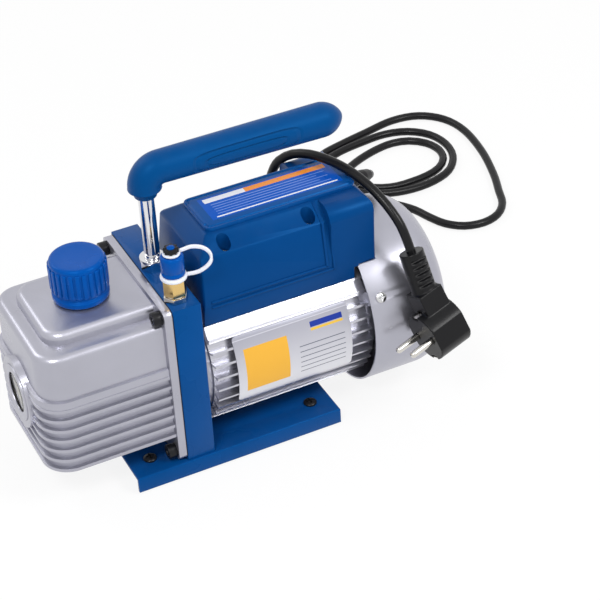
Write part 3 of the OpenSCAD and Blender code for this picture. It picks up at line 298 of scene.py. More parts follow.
# %% The grain group: fine bumps, uneven gloss and slow changes of tone
grain, grain_in, grain_out = new_group(
    "grain",
    {"Scale": 1500, "Gloss low": 0.3, "Gloss high": 0.45, "Drift": 18},
    ["Height", "Roughness", "Tone"])
place = grain.nodes.new("ShaderNodeTexCoord").outputs["Object"]
fine = add_noise(grain, place, grain_in.outputs["Scale"], 4)
coarse = add_noise(grain, place, add_math(grain, "MULTIPLY", grain_in.outputs["Scale"], 0.2), 2)
height = add_math(grain, "ADD", fine, add_math(grain, "MULTIPLY", coarse, 0.6))
grain.links.new(height, grain_out.inputs["Height"])
patches = add_noise(grain, place, grain_in.outputs["Drift"], 3)
grain.links.new(
    add_range(grain, patches, grain_in.outputs["Gloss low"], grain_in.outputs["Gloss high"], 0.3, 0.7),
    grain_out.inputs["Roughness"])
grain.links.new(add_range(grain, patches, 0, 1, 0.3, 0.7), grain_out.inputs["Tone"])

# %% The drawn group: fine streaks along X, as an extrusion or a brushed sheet has
drawn, drawn_in, drawn_out = new_group("drawn", {"Scale": 2500, "Stretch": 0.02}, ["Height", "Tone"])
place = drawn.nodes.new("ShaderNodeTexCoord").outputs["Object"]
apart = drawn.nodes.new("ShaderNodeSeparateXYZ")
drawn.links.new(place, apart.inputs[0])
joined = drawn.nodes.new("ShaderNodeCombineXYZ")
drawn.links.new(add_math(drawn, "MULTIPLY", apart.outputs[0], drawn_in.outputs["Stretch"]), joined.inputs[0])
drawn.links.new(apart.outputs[1], joined.inputs[1])
drawn.links.new(apart.outputs[2], joined.inputs[2])
streaks = add_noise(drawn, joined.outputs[0], drawn_in.outputs["Scale"], 3)
drawn.links.new(streaks, drawn_out.inputs["Height"])
drawn.links.new(add_range(drawn, streaks, 0, 1, 0.35, 0.65), drawn_out.inputs["Tone"])

# %% The dust group: a thin pale film on what faces up
dust, dust_in, dust_out = new_group("dust", {"Amount": 0.1}, ["Mask"])
facing = dust.nodes.new("ShaderNodeSeparateXYZ")
dust.links.new(dust.nodes.new("ShaderNodeNewGeometry").outputs["Normal"], facing.inputs[0])
upward = add_range(dust, facing.outputs[2], 0, 1, 0.5, 1.0)
specks = add_noise(dust, dust.nodes.new("ShaderNodeTexCoord").outputs["Object"], 90, 6, 0.7)
film = add_math(dust, "MULTIPLY", upward, add_range(dust, specks, 0, 1, 0.4, 0.75))
dust.links.new(add_math(dust, "MULTIPLY", film, dust_in.outputs["Amount"]), dust_out.inputs["Mask"])

# %% [markdown]
# ## Finishes
# Each finish is one material. The Principled shader stays in the material, values that are the same all
# over sit on its own sockets, and only what changes over the surface comes from the groups.

# %% A base for every finish
finishes = {}


def shade_of(colour, factor):
    """A colour made lighter or darker."""
    return (*[min(1.0, c * factor) for c in colour], 1)


def add_mix(tree, factor, first, second):
    """A colour mix: factor is a socket, and each colour a tuple or a socket."""
    node = tree.nodes.new("ShaderNodeMix")
    node.data_type = "RGBA"
    tree.links.new(factor, node.inputs[0])
    for socket, value in ((node.inputs[6], first), (node.inputs[7], second)):
        if isinstance(value, tuple):
            socket.default_value = value
        else:
            tree.links.new(value, socket)
    return node.outputs[2]


def place_group(tree, group, values):
    """Places a shared group in a material with its own values."""
    node = tree.nodes.new("ShaderNodeGroup")
    node.node_tree = group
    for label, value in values.items():
        node.inputs[label].default_value = value
    return node


def make_finish(slot, colour, gloss, metal=0.0, size=1500, depth=0.03, spread=0.06, dusty=0.05, **sockets):
    """A material with grain, uneven gloss, slow tone changes and a little dust. gloss is (low, high)."""
    made = bpy.data.materials.new(slot)
    made.use_nodes = True
    tree = made.node_tree
    shader = tree.nodes["Principled BSDF"]
    shader.inputs["Metallic"].default_value = metal
    for label, value in sockets.items():
        shader.inputs[label.replace("_", " ").title().replace("Ior", "IOR")].default_value = value
    look = place_group(tree, grain, {"Scale": size, "Gloss low": gloss[0], "Gloss high": gloss[1]})
    tone = add_mix(tree, look.outputs["Tone"], shade_of(colour, 1 - spread), shade_of(colour, 1 + spread))
    film = place_group(tree, dust, {"Amount": dusty})
    tone = add_mix(tree, film.outputs["Mask"], tone, (0.6, 0.6, 0.6, 1))
    tree.links.new(tone, shader.inputs["Base Color"])
    tree.links.new(look.outputs["Roughness"], shader.inputs["Roughness"])
    bump = tree.nodes.new("ShaderNodeBump")
    bump.inputs["Strength"].default_value = 0.5
    bump.inputs["Distance"].default_value = depth / 1000
    tree.links.new(look.outputs["Height"], bump.inputs["Height"])
    tree.links.new(bump.outputs[0], shader.inputs["Normal"])
    finishes[slot] = made
    return made


# %% [markdown]
# Enamel on the bracket and base is deep and glossy with a faint orange peel. The plastics next to it are
# moulded in the same blue, but their texture is finer and their gloss lower, and the two caps are a
# brighter and shinier blue.

# %% Blue enamel, plastics and grip
blue_sheen = {"specular_ior_level": 0.3, "specular_tint": (0.06, 0.4, 1, 1), "dusty": 0.008}
make_finish("blue_paint", (0.001, 0.054, 0.215), (0.22, 0.34), size=700, depth=0.04, **blue_sheen)
make_finish("blue_plastic", (0.001, 0.043, 0.175), (0.3, 0.4), size=3200, depth=0.02, **blue_sheen)
make_finish("blue_cap_plastic", (0.0005, 0.065, 0.32), (0.2, 0.3), size=2600, depth=0.012, **blue_sheen)
make_finish("blue_grip_rubber", (0.001, 0.052, 0.19), (0.38, 0.5), size=3800, depth=0.03, **blue_sheen)
black_sheen = {"specular_ior_level": 0.22, "dusty": 0.01}
make_finish("black_plastic", (0.006, 0.006, 0.008), (0.3, 0.42), size=3000, depth=0.02, **black_sheen)
make_finish("black_pvc", (0.005, 0.005, 0.006), (0.25, 0.38), size=2200, depth=0.015, **black_sheen)
make_finish("black_rubber", (0.01, 0.01, 0.01), (0.6, 0.75), size=2000, depth=0.03, **black_sheen)
make_finish("white_plastic", (0.74, 0.73, 0.8), (0.25, 0.35), size=2500, depth=0.01, subsurface_weight=0.1)
make_finish("carbon_vane", (0.06, 0.045, 0.03), (0.4, 0.5), size=900, depth=0.03)
make_finish("capacitor_shell", (0.7, 0.7, 0.7), (0.35, 0.45), size=2500, depth=0.01)

# %% [markdown]
# The oil case and fan cover are die castings with a satin silver coat: pale, a little lavender, with
# soft wide highlights. Machined and plated metals are shinier and darker where they mirror the pump.

# %% Cast, turned and plated metals
make_finish(
    "cast_aluminium", (0.43, 0.43, 0.49), (0.26, 0.36), metal=0.85, size=1900, depth=0.05, spread=0.05,
    dusty=0.02)
make_finish("machined_steel", (0.45, 0.45, 0.47), (0.3, 0.4), metal=1.0, size=2500, depth=0.01, dusty=0)
make_finish("bright_steel", (0.62, 0.62, 0.63), (0.18, 0.28), metal=1.0, size=2500, depth=0.01)
make_finish("black_steel", (0.008, 0.008, 0.01), (0.28, 0.38), size=2500, depth=0.01, **black_sheen)
make_finish("chrome", (0.72, 0.72, 0.74), (0.04, 0.09), metal=1.0, size=600, depth=0.004, dusty=0)
make_finish("nickel", (0.62, 0.6, 0.56), (0.12, 0.22), metal=1.0, size=1500, depth=0.008)
make_finish("brass", (0.72, 0.5, 0.2), (0.16, 0.26), metal=1.0, size=1500, depth=0.01)
make_finish("copper", (0.6, 0.24, 0.09), (0.25, 0.4), metal=0.9, size=1200, depth=0.05)
make_finish("cast_iron", (0.16, 0.16, 0.17), (0.45, 0.6), metal=0.8, size=1300, depth=0.06)

# %% Extruded aluminium, with streaks along the fins
extruded = make_finish(
    "extruded_aluminium", (0.5, 0.5, 0.56), (0.22, 0.34), metal=0.9, size=2200, depth=0.02, dusty=0.02)
tree = extruded.node_tree
lines = place_group(tree, drawn, {"Scale": 2600})
shader = tree.nodes["Principled BSDF"]
tone = shader.inputs["Base Color"].links[0].from_socket
tree.links.new(add_mix(tree, lines.outputs["Tone"], tone, (0.6, 0.6, 0.65, 1)), shader.inputs["Base Color"])
bump = next(n for n in tree.nodes if n.type == "BUMP")
tree.links.new(lines.outputs["Height"], bump.inputs["Height"])

# %% Clear sight glass with a trace of oil behind it
glass = bpy.data.materials.new("lens_glass")
glass.use_nodes = True
shader = glass.node_tree.nodes["Principled BSDF"]
shader.inputs["Base Color"].default_value = (0.9, 0.88, 0.78, 1)
shader.inputs["Transmission Weight"].default_value = 1.0
shader.inputs["Roughness"].default_value = 0.05
ripple = place_group(glass.node_tree, grain, {"Scale": 260})
bump = glass.node_tree.nodes.new("ShaderNodeBump")
bump.inputs["Distance"].default_value = 0.00002
glass.node_tree.links.new(ripple.outputs["Height"], bump.inputs["Height"])
glass.node_tree.links.new(bump.outputs[0], shader.inputs["Normal"])
finishes["lens_glass"] = glass

# %% [markdown]
# Printed areas are bands and rules on Object coordinates. A band is 1 between two limits of one
# coordinate, and two bands multiplied make a bar. Nothing is written on the pump: the plates carry only
# plain bars and empty rules.

# %% Bars for printed plates
def add_band(tree, value, low, high):
    """1 where a value lies between two limits."""
    return add_math(
        tree, "MULTIPLY",
        add_math(tree, "GREATER_THAN", value, low), add_math(tree, "LESS_THAN", value, high))


def print_bar(tree, tone, across, along, limits, colour):
    """Paints a bar over a tone, within (low, high) limits along two coordinates."""
    bar = add_math(tree, "MULTIPLY", add_band(tree, across, *limits[0]), add_band(tree, along, *limits[1]))
    return add_mix(tree, bar, tone, colour)


# %% Foil for the rating plate: a painted highlight at the bottom fading into painted shade upwards, with a plain orange block, two bars and empty rules
foil = make_finish("label_foil", (0.66, 0.66, 0.7), (0.3, 0.4), metal=0.35, size=2600, depth=0.006)
tree = foil.node_tree
shader = tree.nodes["Principled BSDF"]
tone = shader.inputs["Base Color"].links[0].from_socket
apart = tree.nodes.new("ShaderNodeSeparateXYZ")
tree.links.new(tree.nodes.new("ShaderNodeTexCoord").outputs["Object"], apart.inputs[0])
x, z = apart.outputs[0], apart.outputs[2]
plate_low, plate_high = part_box("rating_plate")
# Painted light: the foil runs from a pale painted highlight at the bottom to darker painted shade at the top
height = add_range(tree, z, 0, 1, plate_low.z, plate_high.z)
tone = add_mix(tree, height, (0.74, 0.74, 0.78, 1), (0.34, 0.34, 0.4, 1))
rules_x = plate_low.x + 0.046, plate_high.x - 0.005
bars_x = rules_x[0] + 0.01, rules_x[1]
block_x = plate_low.x + 0.006, plate_low.x + 0.038
for i in range(6):
    rule_z = plate_low.z + 0.009 + i * 0.0042
    tone = print_bar(tree, tone, x, z, (rules_x, (rule_z, rule_z + 0.0006)), (0.1, 0.11, 0.16, 1))
bar_z = plate_high.z - 0.009
edge_z = plate_high.z - 0.0028
for limits_x, limits_z, colour in (
        (bars_x, (bar_z, bar_z + 0.0036), (0.004, 0.03, 0.3, 1)),
        (bars_x, (bar_z - 0.0022, bar_z - 0.0006), (0.8, 0.5, 0.06, 1)),
        ((plate_low.x, plate_high.x), (edge_z, edge_z + 0.0004), (0.62, 0.62, 0.68, 1)),
        (block_x, (plate_low.z + 0.008, bar_z), (0.8, 0.42, 0.04, 1))):
    tone = print_bar(tree, tone, x, z, (limits_x, limits_z), colour)
tree.links.new(tone, shader.inputs["Base Color"])

# %% Foil on the lid: a brighter field with a white bar, an orange bar, thin pale rows and a white line
lid_low, lid_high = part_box("lid_panel")
printed = make_finish("lid_print", (0.0015, 0.06, 0.24), (0.22, 0.32), size=3200, depth=0.008, **blue_sheen)
tree = printed.node_tree
shader = tree.nodes["Principled BSDF"]
tone = shader.inputs["Base Color"].links[0].from_socket
apart = tree.nodes.new("ShaderNodeSeparateXYZ")
tree.links.new(tree.nodes.new("ShaderNodeTexCoord").outputs["Object"], apart.inputs[0])
x, y = apart.outputs[0], apart.outputs[1]
field = lid_low.x + 0.0085, lid_high.x - 0.006
bars_end = field[1] - 0.003
white_x = field[0] + 0.003, field[0] + 0.033
bars_y = 0.0082, 0.0132
for limits_x, limits_y, colour in (
        (field, (-0.0125, 0.0148), (0.002, 0.075, 0.42, 1)),
        (white_x, bars_y, (0.72, 0.72, 0.76, 1)),
        ((white_x[1], bars_end), bars_y, (0.78, 0.26, 0.03, 1)),
        ((field[0] + 0.004, bars_end), (-0.0108, -0.0095), (0.75, 0.75, 0.78, 1))):
    tone = print_bar(tree, tone, x, y, (limits_x, limits_y), colour)
for i in range(5):
    row_x = field[0] + 0.006, field[1] - 0.006 - 0.007 * (i % 2)
    row_y = 0.0046 - 0.0029 * i
    tone = print_bar(tree, tone, x, y, (row_x, (row_y, row_y + 0.0007)), (0.16, 0.26, 0.6, 1))
tree.links.new(tone, shader.inputs["Base Color"])

# %% [markdown]
# The grip is moulded in one soft piece, with two nested outlines pressed into its sides. They are
# shallow, so they are a bump: each outline is a circle that is stretched and squared by a high power,
# and the bump has a valley where the distance from its middle is just one radius.

# %% Panel outlines on the grip
grip_low, grip_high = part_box("handle_grip")
post_grip_z = 0.2118
grip_fall = math.tan(math.radians(0.5))
grip_z = post_grip_z - 0.0005
tree = finishes["blue_grip_rubber"].node_tree
shader = tree.nodes["Principled BSDF"]
apart = tree.nodes.new("ShaderNodeSeparateXYZ")
tree.links.new(tree.nodes.new("ShaderNodeTexCoord").outputs["Object"], apart.inputs[0])
x, z = apart.outputs[0], apart.outputs[2]


def add_outline(tree, low_x, high_x, middle_z, half_z, power):
    """A thin groove round a stretched, squarish circle in X and Z: 0 in the groove, 1 elsewhere."""
    half_x, middle_x = (high_x - low_x) / 2, (high_x + low_x) / 2
    terms = []
    for value, centre, half in ((x, middle_x, half_x), (z, middle_z, half_z)):
        share = add_math(tree, "DIVIDE", add_math(tree, "SUBTRACT", value, centre), half)
        terms.append(add_math(tree, "POWER", add_math(tree, "ABSOLUTE", share, 0), power))
    edge = add_math(tree, "ABSOLUTE", add_math(tree, "SUBTRACT", add_math(tree, "ADD", *terms), 1), 0)
    return add_range(tree, edge, 0, 1, 0, 0.34)


groove = add_outline(tree, grip_low.x + 0.044, grip_high.x - 0.036, grip_z, 0.0066, 5)
inner = add_outline(tree, grip_low.x + 0.052, grip_high.x - 0.046, grip_z - 0.0005, 0.0036, 4)
raised = add_math(tree, "MULTIPLY", groove, inner)
mould = tree.nodes.new("ShaderNodeBump")
mould.inputs["Distance"].default_value = 0.0007
mould.inputs["Strength"].default_value = 1.0
fine_bump = next(n for n in tree.nodes if n.type == "BUMP" and n != mould)
tree.links.new(raised, mould.inputs["Height"])
tree.links.new(fine_bump.outputs[0], mould.inputs["Normal"])
tree.links.new(mould.outputs[0], shader.inputs["Normal"])

# %% The measured parts take the finish of their slot
for node, piece in frame["nodes"].items():
    piece.data.materials.clear()
    piece.data.materials.append(finishes[slot_of[node]])
print("finishes:", len(finishes))

# %% [markdown]
# ## Ways of working
# New pieces start as a primitive and are shaped in edit mode. Three helpers are enough for most of
# them: one selects edges or faces by a test, one turns an outline round an upright axis as on a lathe,
# and one makes an own copy of a measured part, so that its sharp edges can be broken as a caster or a
# press leaves them.

# %% Selecting and editing
def only(piece):
    """Makes this piece the only selected one."""
    for other in list(bpy.context.selected_objects):
        other.select_set(False)
    piece.select_set(True)
    bpy.context.view_layer.objects.active = piece


def edit(piece):
    """Goes into edit mode on a piece, with nothing selected."""
    only(piece)
    bpy.ops.object.mode_set(mode="EDIT")
    bpy.ops.mesh.select_all(action="DESELECT")


def leave():
    """Goes back to object mode."""
    bpy.ops.object.mode_set(mode="OBJECT")


def pick(piece, kind, test):
    """Selects the faces or edges that pass a test on their middle point and direction."""
    bpy.context.tool_settings.mesh_select_mode = (False, kind == "edges", kind == "faces")
    mesh = bmesh.from_edit_mesh(piece.data)
    for item in getattr(mesh, kind):
        if kind == "edges":
            a, b = (v.co for v in item.verts)
            found = test((a + b) / 2, b - a)
        else:
            found = test(item.calc_center_median(), item.normal)
        item.select_set(found)
    bmesh.update_edit_mesh(piece.data)


def bevel(width, segments=3):
    """Rounds the selected edges."""
    bpy.ops.mesh.bevel(offset=width, segments=segments, profile=0.5, affect="EDGES", clamp_overlap=True)


# %% Primitives, turned pieces and copies
def slab(name, low, high):
    """A cube primitive between two corners."""
    low, high = Vector(low), Vector(high)
    bpy.ops.mesh.primitive_cube_add(size=1, location=(low + high) / 2, scale=high - low)
    piece = bpy.context.object
    piece.name = name
    only(piece)
    bpy.ops.object.transform_apply(location=True, rotation=True, scale=True)
    return piece


def turned(name, outline, centre, steps=72):
    """Extrudes one corner along an outline of (radius, height) points, then spins it full circle."""
    bpy.ops.mesh.primitive_plane_add(size=0.001, location=(0, 0, 0))
    piece = bpy.context.object
    piece.name = name
    edit(piece)
    bpy.context.tool_settings.mesh_select_mode = (True, False, False)
    bpy.ops.mesh.select_all(action="SELECT")
    bpy.ops.mesh.merge(type="CENTER")
    radius, height = outline[0]
    bpy.ops.transform.translate(value=(radius, 0, height))
    for next_radius, next_height in outline[1:]:
        step = (next_radius - radius, 0, next_height - height)
        bpy.ops.mesh.extrude_region_move(TRANSFORM_OT_translate={"value": step})
        radius, height = next_radius, next_height
    bpy.ops.mesh.select_all(action="SELECT")
    bpy.ops.mesh.spin(steps=steps, angle=math.tau, center=(0, 0, 0), axis=(0, 0, 1))
    bpy.ops.mesh.select_all(action="SELECT")
    bpy.ops.mesh.remove_doubles(threshold=1e-6)
    bpy.ops.mesh.normals_make_consistent(inside=False)
    leave()
    piece.location = centre
    only(piece)
    bpy.ops.object.transform_apply(location=True, rotation=True, scale=True)
    return piece


def arc(middle, radius, start, end, count=6):
    """Points on an arc in an outline, with angles in degrees."""
    angles = [math.radians(start + (end - start) * k / count) for k in range(count + 1)]
    return [(middle[0] + radius * math.cos(a), middle[1] + radius * math.sin(a)) for a in angles]


def own_copy(node, name):
    """A new piece from a measured part, with its corners merged and its flat faces whole."""
    piece = bpy.data.objects.new(name, frame["nodes"][node].data.copy())
    bpy.context.scene.collection.objects.link(piece)
    edit(piece)
    bpy.ops.mesh.select_all(action="SELECT")
    bpy.ops.mesh.remove_doubles(threshold=2e-6)
    bpy.ops.mesh.dissolve_limited(angle_limit=math.radians(0.4))
    leave()
    bpy.ops.mesh.customdata_custom_splitnormals_clear()
    return piece


def apply_modifier(piece, kind, **settings):
    """Adds a modifier with settings and applies it."""
    only(piece)
    modifier = piece.modifiers.new(kind.lower(), kind)
    for label, value in settings.items():
        setattr(modifier, label, value)
    bpy.ops.object.modifier_apply(modifier=modifier.name)


def break_edges(piece, width, segments=2, angle=32):
    """Rounds every edge that is sharper than an angle."""
    apply_modifier(
        piece, "BEVEL", width=width, segments=segments, limit_method="ANGLE",
        angle_limit=math.radians(angle), use_clamp_overlap=True, harden_normals=False)


def round_long_edges(piece, width, shortest, low_z, angle=20):
    """Rounds the outer edges longer than a length and above a height. Short ones would pinch the bevel."""
    edit(piece)
    bpy.context.tool_settings.mesh_select_mode = (False, True, False)
    mesh = bmesh.from_edit_mesh(piece.data)
    for edge in mesh.edges:
        middle_z = (edge.verts[0].co.z + edge.verts[1].co.z) / 2
        if edge.is_manifold and edge.calc_length() > shortest and middle_z > low_z:
            edge.select_set(edge.calc_face_angle_signed() > math.radians(angle))
    bmesh.update_edit_mesh(piece.data)
    bpy.ops.mesh.bevel(offset=width, segments=4, profile=0.5, affect="EDGES", clamp_overlap=False)
    leave()


def join(pieces, name):
    """Joins pieces into the first one."""
    only(pieces[0])
    for piece in pieces[1:]:
        piece.select_set(True)
    bpy.ops.object.join()
    pieces[0].name = name
    return pieces[0]


def copy_turned(piece, angle, centre):
    """A copy of a piece with its own mesh, turned round the upright line through a centre."""
    copied = piece.copy()
    copied.data = piece.data.copy()
    bpy.context.scene.collection.objects.link(copied)
    there = Matrix.Translation(centre)
    copied.data.transform(there @ Matrix.Rotation(angle, 4, "Z") @ there.inverted())
    return copied


def fit(piece, *nodes, slot=None, body=None, finish=None, smooth=38):
    """Finishes a piece: smooth shading, its material, its body and the nodes that it stands for."""
    only(piece)
    bpy.ops.object.shade_smooth_by_angle(angle=math.radians(smooth))
    slot = slot or slot_of[nodes[0]]
    piece.data.materials.clear()
    piece.data.materials.append(finish or finishes[slot])
    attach(piece, body or body_of[nodes[0]])
    if nodes:
        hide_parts(*nodes)
    print(piece.name, len(piece.data.polygons), "faces")
    return piece


# %% [markdown]
# ## Parts with broken edges
# These parts are the right shape already. A press, a die or a tumbler leaves a small radius on each of
# their edges, and that radius is what catches the light, so a bevel of the right width makes them real.
# The long outer edges of the sheet, the bracket and the cover are rounder than the rest, so they are
# done first.

# %% Sheet, bracket, castings and screws
soft_edges = {  # the width of each bevel
    "base_plate": 0.0016, "pump_bracket": 0.0009, "oil_case": 0.0005, "case_gasket": 0.0001,
    "case_screws": 0.0003, "drain_plug": 0.0004, "sight_glass_bezel": 0.0003, "sight_glass_lens": 0.0002,
    "handle_nut": 0.0003, "intake_adapter": 0.0003, "intake_fitting": 0.0004,
    "motor_rear_bell": 0.0003, "motor_front_bell": 0.0003,
    "fan_cover": 0.0002, "fan_cover_screws": 0.0002, "foot_screws": 0.0003,
    "cover_screws": 0.0002, "top_cover": 0.0009, "switch_body": 0.0004, "switch_rocker": 0.0004,
    "plug_pins": 0.0001, "plug_earth_clips": 0.0001, "cap_knob": 0.0003, "rating_plate": 0.0001}
long_edges = {  # width, shortest edge, lowest edge
    "base_plate": (0.0009, 0.05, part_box("base_plate")[1].z - 0.0003), "pump_bracket": (0.0009, 0.03, 0),
    "top_cover": (0.0016, 0.009, 0.116)}
for node, width in soft_edges.items():
    piece = own_copy(node, node + "_finished")
    if node in long_edges:
        round_long_edges(piece, *long_edges[node])
    break_edges(piece, width, 3 if width > 0.0005 else 2)
    fit(piece, node)

# %% [markdown]
# ## Soft mouldings
# The plug and the strain relief are soft PVC, moulded over the lead. They have no sharp edge at all, so
# their copies are rebuilt as a fine even mesh and relaxed a little.

# %% Plug and strain relief
for node, name, voxel in (("plug_body", "moulded_plug", 0.0005), ("cord_gland", "strain_relief", 0.0004)):
    piece = own_copy(node, name)
    apply_modifier(piece, "REMESH", mode="VOXEL", voxel_size=voxel)
    apply_modifier(piece, "SMOOTH", factor=0.5, iterations=5)
    fit(piece, node, smooth=60)

# %% [markdown]
# ## Oil fill cap
# The cap is a turned body with a smooth foot ring, a groove above it and a plain top, and it has
# upright ridges for the fingers. One ridge is a rounded slab, and the rest are copies turned round
# the cap.

# %% The cap's body and ridges
cap_low, cap_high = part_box("oil_fill_cap")
cap_middle = Vector(((cap_low.x + cap_high.x) / 2, 0, 0))
cap_r = (cap_high.y - cap_low.y) / 2
foot_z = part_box("fill_cap_seal")[1].z
outline = (
    [(0.0062, cap_low.z), (0.0089, cap_low.z), (0.0089, foot_z), (cap_r - 0.0016, foot_z)]
    + arc((cap_r - 0.0014, foot_z + 0.001), 0.001, -90, 0, 4)
    + arc((cap_r - 0.0014, foot_z + 0.0032), 0.001, 0, 70, 4)
    + [(cap_r - 0.002, foot_z + 0.005), (cap_r - 0.002, foot_z + 0.0064)]
    + arc((cap_r - 0.0024, foot_z + 0.0084), 0.0014, -60, 0, 4)
    + arc((cap_r - 0.0035, cap_high.z - 0.0025), 0.0025, 0, 90, 6)
    + [(cap_r - 0.0075, cap_high.z - 0.0003), (0, cap_high.z - 0.0004)]
    + [(0, cap_high.z - 0.004), (0.0062, cap_high.z - 0.004), (0.0062, cap_low.z)])
cap = turned("fill_cap_finished", outline, cap_middle, steps=96)
ridge_x = cap_middle.x + cap_r
ridge_w = 0.0032
ridge_count = 26
ridge_low = ridge_x - 0.0024, -ridge_w / 2, foot_z + 0.0078
ridge = slab("ridge", ridge_low, (ridge_x, ridge_w / 2, cap_high.z - 0.0034))
edit(ridge)
pick(ridge, "edges", lambda at, way: at.x > ridge_x - 0.0002 or (at.x > ridge_x - 0.002 and abs(way.x) > 0))
bevel(0.0007, 3)
leave()
ridges = [copy_turned(ridge, math.tau * k / ridge_count, cap_middle) for k in range(ridge_count)]
bpy.data.objects.remove(ridge)
fit(join([cap] + ridges, "fill_cap_finished"), "oil_fill_cap")
seal_low, seal_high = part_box("fill_cap_seal")
seal_r = (seal_high.y - seal_low.y) / 2
half = (seal_high.z - seal_low.z) / 2
ring = [(0.009, seal_low.z), (0.009, seal_high.z)] + arc((seal_r - half, seal_low.z + half), half, 90, -90, 6)
fit(turned("fill_cap_ring", ring + ring[:1], cap_middle), "fill_cap_seal")

# %% [markdown]
# ## Carry handle
# The chrome post is turned, with a groove near its foot. The grip starts as a circle round the post,
# is spun a quarter turn into the bend, and is then extruded back ring by ring until it narrows to a
# blunt nose. The collar under the bend is extruded down in the same way.

# %% Post
post_low, post_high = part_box("handle_post")
post_middle = Vector(((post_low.x + post_high.x) / 2, 0, 0))
post_r = (post_high.y - post_low.y) / 2
nut_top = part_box("handle_nut")[1].z
outline = (
    [(0, post_low.z), (0.00395, post_low.z), (0.00395, nut_top), (post_r - 0.0005, nut_top)]
    + arc((post_r - 0.0005, nut_top + 0.0005), 0.0005, -90, 0, 3)
    + [(post_r, nut_top + 0.0028), (post_r - 0.0006, nut_top + 0.0032), (post_r - 0.0006, nut_top + 0.004)]
    + [(post_r, nut_top + 0.0044), (post_r, post_high.z), (0, post_high.z)])
fit(turned("post_finished", outline, post_middle), "handle_post")

# %% Grip
grip_r = 0.0112
bend_r = grip_r + 0.0003
bend_z = post_grip_z - bend_r
bpy.ops.mesh.primitive_circle_add(
    vertices=48, radius=grip_r, location=(post_middle.x, 0, bend_z), fill_type="NOTHING")
grip = bpy.context.object
grip.name = "grip_finished"
only(grip)
bpy.ops.object.transform_apply(location=True, rotation=True, scale=True)
edit(grip)
bpy.context.tool_settings.mesh_select_mode = (False, True, False)
bpy.ops.mesh.select_all(action="SELECT")
bpy.ops.mesh.spin(
    steps=14, angle=math.pi / 2, center=(post_middle.x + bend_r, 0, bend_z), axis=(0, -1, 0))
bend_x = post_middle.x + bend_r
end_r = grip_r + 0.0007
nose_back = 0.005
nose_arc = end_r + nose_back
nose_l = math.sqrt(nose_arc ** 2 - nose_back ** 2)
straight_l = grip_high.x - bend_x - nose_l
rings = [(bend_x + straight_l * k / 8, grip_r + (end_r - grip_r) * k / 8) for k in range(1, 9)]
for k in range(1, 17):
    along = nose_l * math.sin(math.pi / 2 * k / 16)
    nose_r = math.sqrt(max(0, nose_arc ** 2 - along ** 2)) - nose_back
    rings.append((bend_x + straight_l + along, max(0.00005, nose_r)))
at_x, at_z, radius = bend_x, post_grip_z, grip_r
for ring_x, ring_r in rings:
    ring_z = post_grip_z - (ring_x - bend_x) * grip_fall
    bpy.ops.mesh.extrude_region_move(TRANSFORM_OT_translate={"value": (ring_x - at_x, 0, ring_z - at_z)})
    share = ring_r / radius
    bpy.ops.transform.resize(value=(1, share, share), center_override=(ring_x, 0, ring_z))
    at_x, at_z, radius = ring_x, ring_z, ring_r
bpy.ops.mesh.merge(type="CENTER")
level_z = 1e-5
pick(grip, "edges", lambda at, way: (
    abs(at.z - bend_z) < level_z and abs(way.z) < level_z and at.x < post_middle.x + grip_r))
collar = [  # how far down each step goes, and how much it widens or narrows
    (0.0009, 1.015), (0.0004, 0.985), (0.0002, 0.94), (0.0, 0.84), (0.0004, 0.98), (0.0046, 0.87),
    (0.0004, 0.96), (0.0, 0.77)]
for drop, share in collar:
    bpy.ops.mesh.extrude_region_move(TRANSFORM_OT_translate={"value": (0, 0, -drop)})
    bpy.ops.transform.resize(value=(share, share, 1), center_override=(post_middle.x, 0, bend_z))
bpy.ops.mesh.select_all(action="SELECT")
bpy.ops.mesh.remove_doubles(threshold=1e-6)
bpy.ops.mesh.normals_make_consistent(inside=False)
leave()
fit(grip, "handle_grip", smooth=50)

# %% [markdown]
# ## Lid panel
# The panel on the cover is a thin plate with a stepped rim: its corners are rounded, and its top face
# is inset four times and pushed down and up again, which leaves the double line round it.

# %% Lid
lid = slab("lid_finished", lid_low, lid_high)
edit(lid)
pick(lid, "edges", lambda at, way: abs(way.z) > 0.001)
bevel(0.005, 8)
for thickness, lift in ((0.0011, 0.0), (0.0007, -0.0009), (0.0009, 0.0), (0.0007, 0.0009)):
    pick(lid, "faces", lambda at, normal: normal.z > 0.99 and abs(at.y) < 0.001)
    bpy.ops.mesh.inset(thickness=thickness)
    bpy.ops.transform.translate(value=(0, 0, lift))
leave()
break_edges(lid, 0.00025, 2, 20)
fit(lid, "lid_panel", finish=printed)

# %% [markdown]
# ## Lines on the top cover
# Two fine ribs run along each side of the cover, turn a corner, and climb the leaning wall and the
# slope up to the lid. Each one is a slab sunk a little into the wall. Its upright part is extruded
# from one end face, and follows the wall.

# %% Ribs on the cover's sides
cover_low, cover_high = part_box("top_cover")
rib_end = lid_high.x - 0.0275
lean_z = 0.1245
climb = [(0.0045, 0.0305), (0.0135, 0.0098)]  # how far in and up the wall goes, then the slope
ribs = []
for side in (-1, 1):
    wall = side * cover_high.y
    inner, outer = sorted((wall - side * 0.001, wall + side * 0.0011))
    for step, low_z in ((0.0052, 0.1226), (0, 0.1188)):
        back_x = rib_end - step
        ribs.append(slab("rib", (cover_low.x + 0.006, inner, low_z), (back_x, outer, low_z + 0.0017)))
        upright = slab("rib", (back_x - 0.0017, inner, low_z + 0.0008), (back_x, outer, lean_z))
        edit(upright)
        pick(upright, "faces", lambda at, way: way.z > 0.9)
        for in_y, up_z in climb:
            bpy.ops.mesh.extrude_region_move(TRANSFORM_OT_translate={"value": (0, -side * in_y, up_z)})
        leave()
        ribs.append(upright)
for rib in ribs:
    edit(rib)
    pick(rib, "edges", lambda at, way: len(rib.data.vertices) == 8 and abs(at.y) > cover_high.y)
    bevel(0.0006, 3)
    leave()
fit(join(ribs, "cover_ribs"), slot="blue_plastic", body="root")
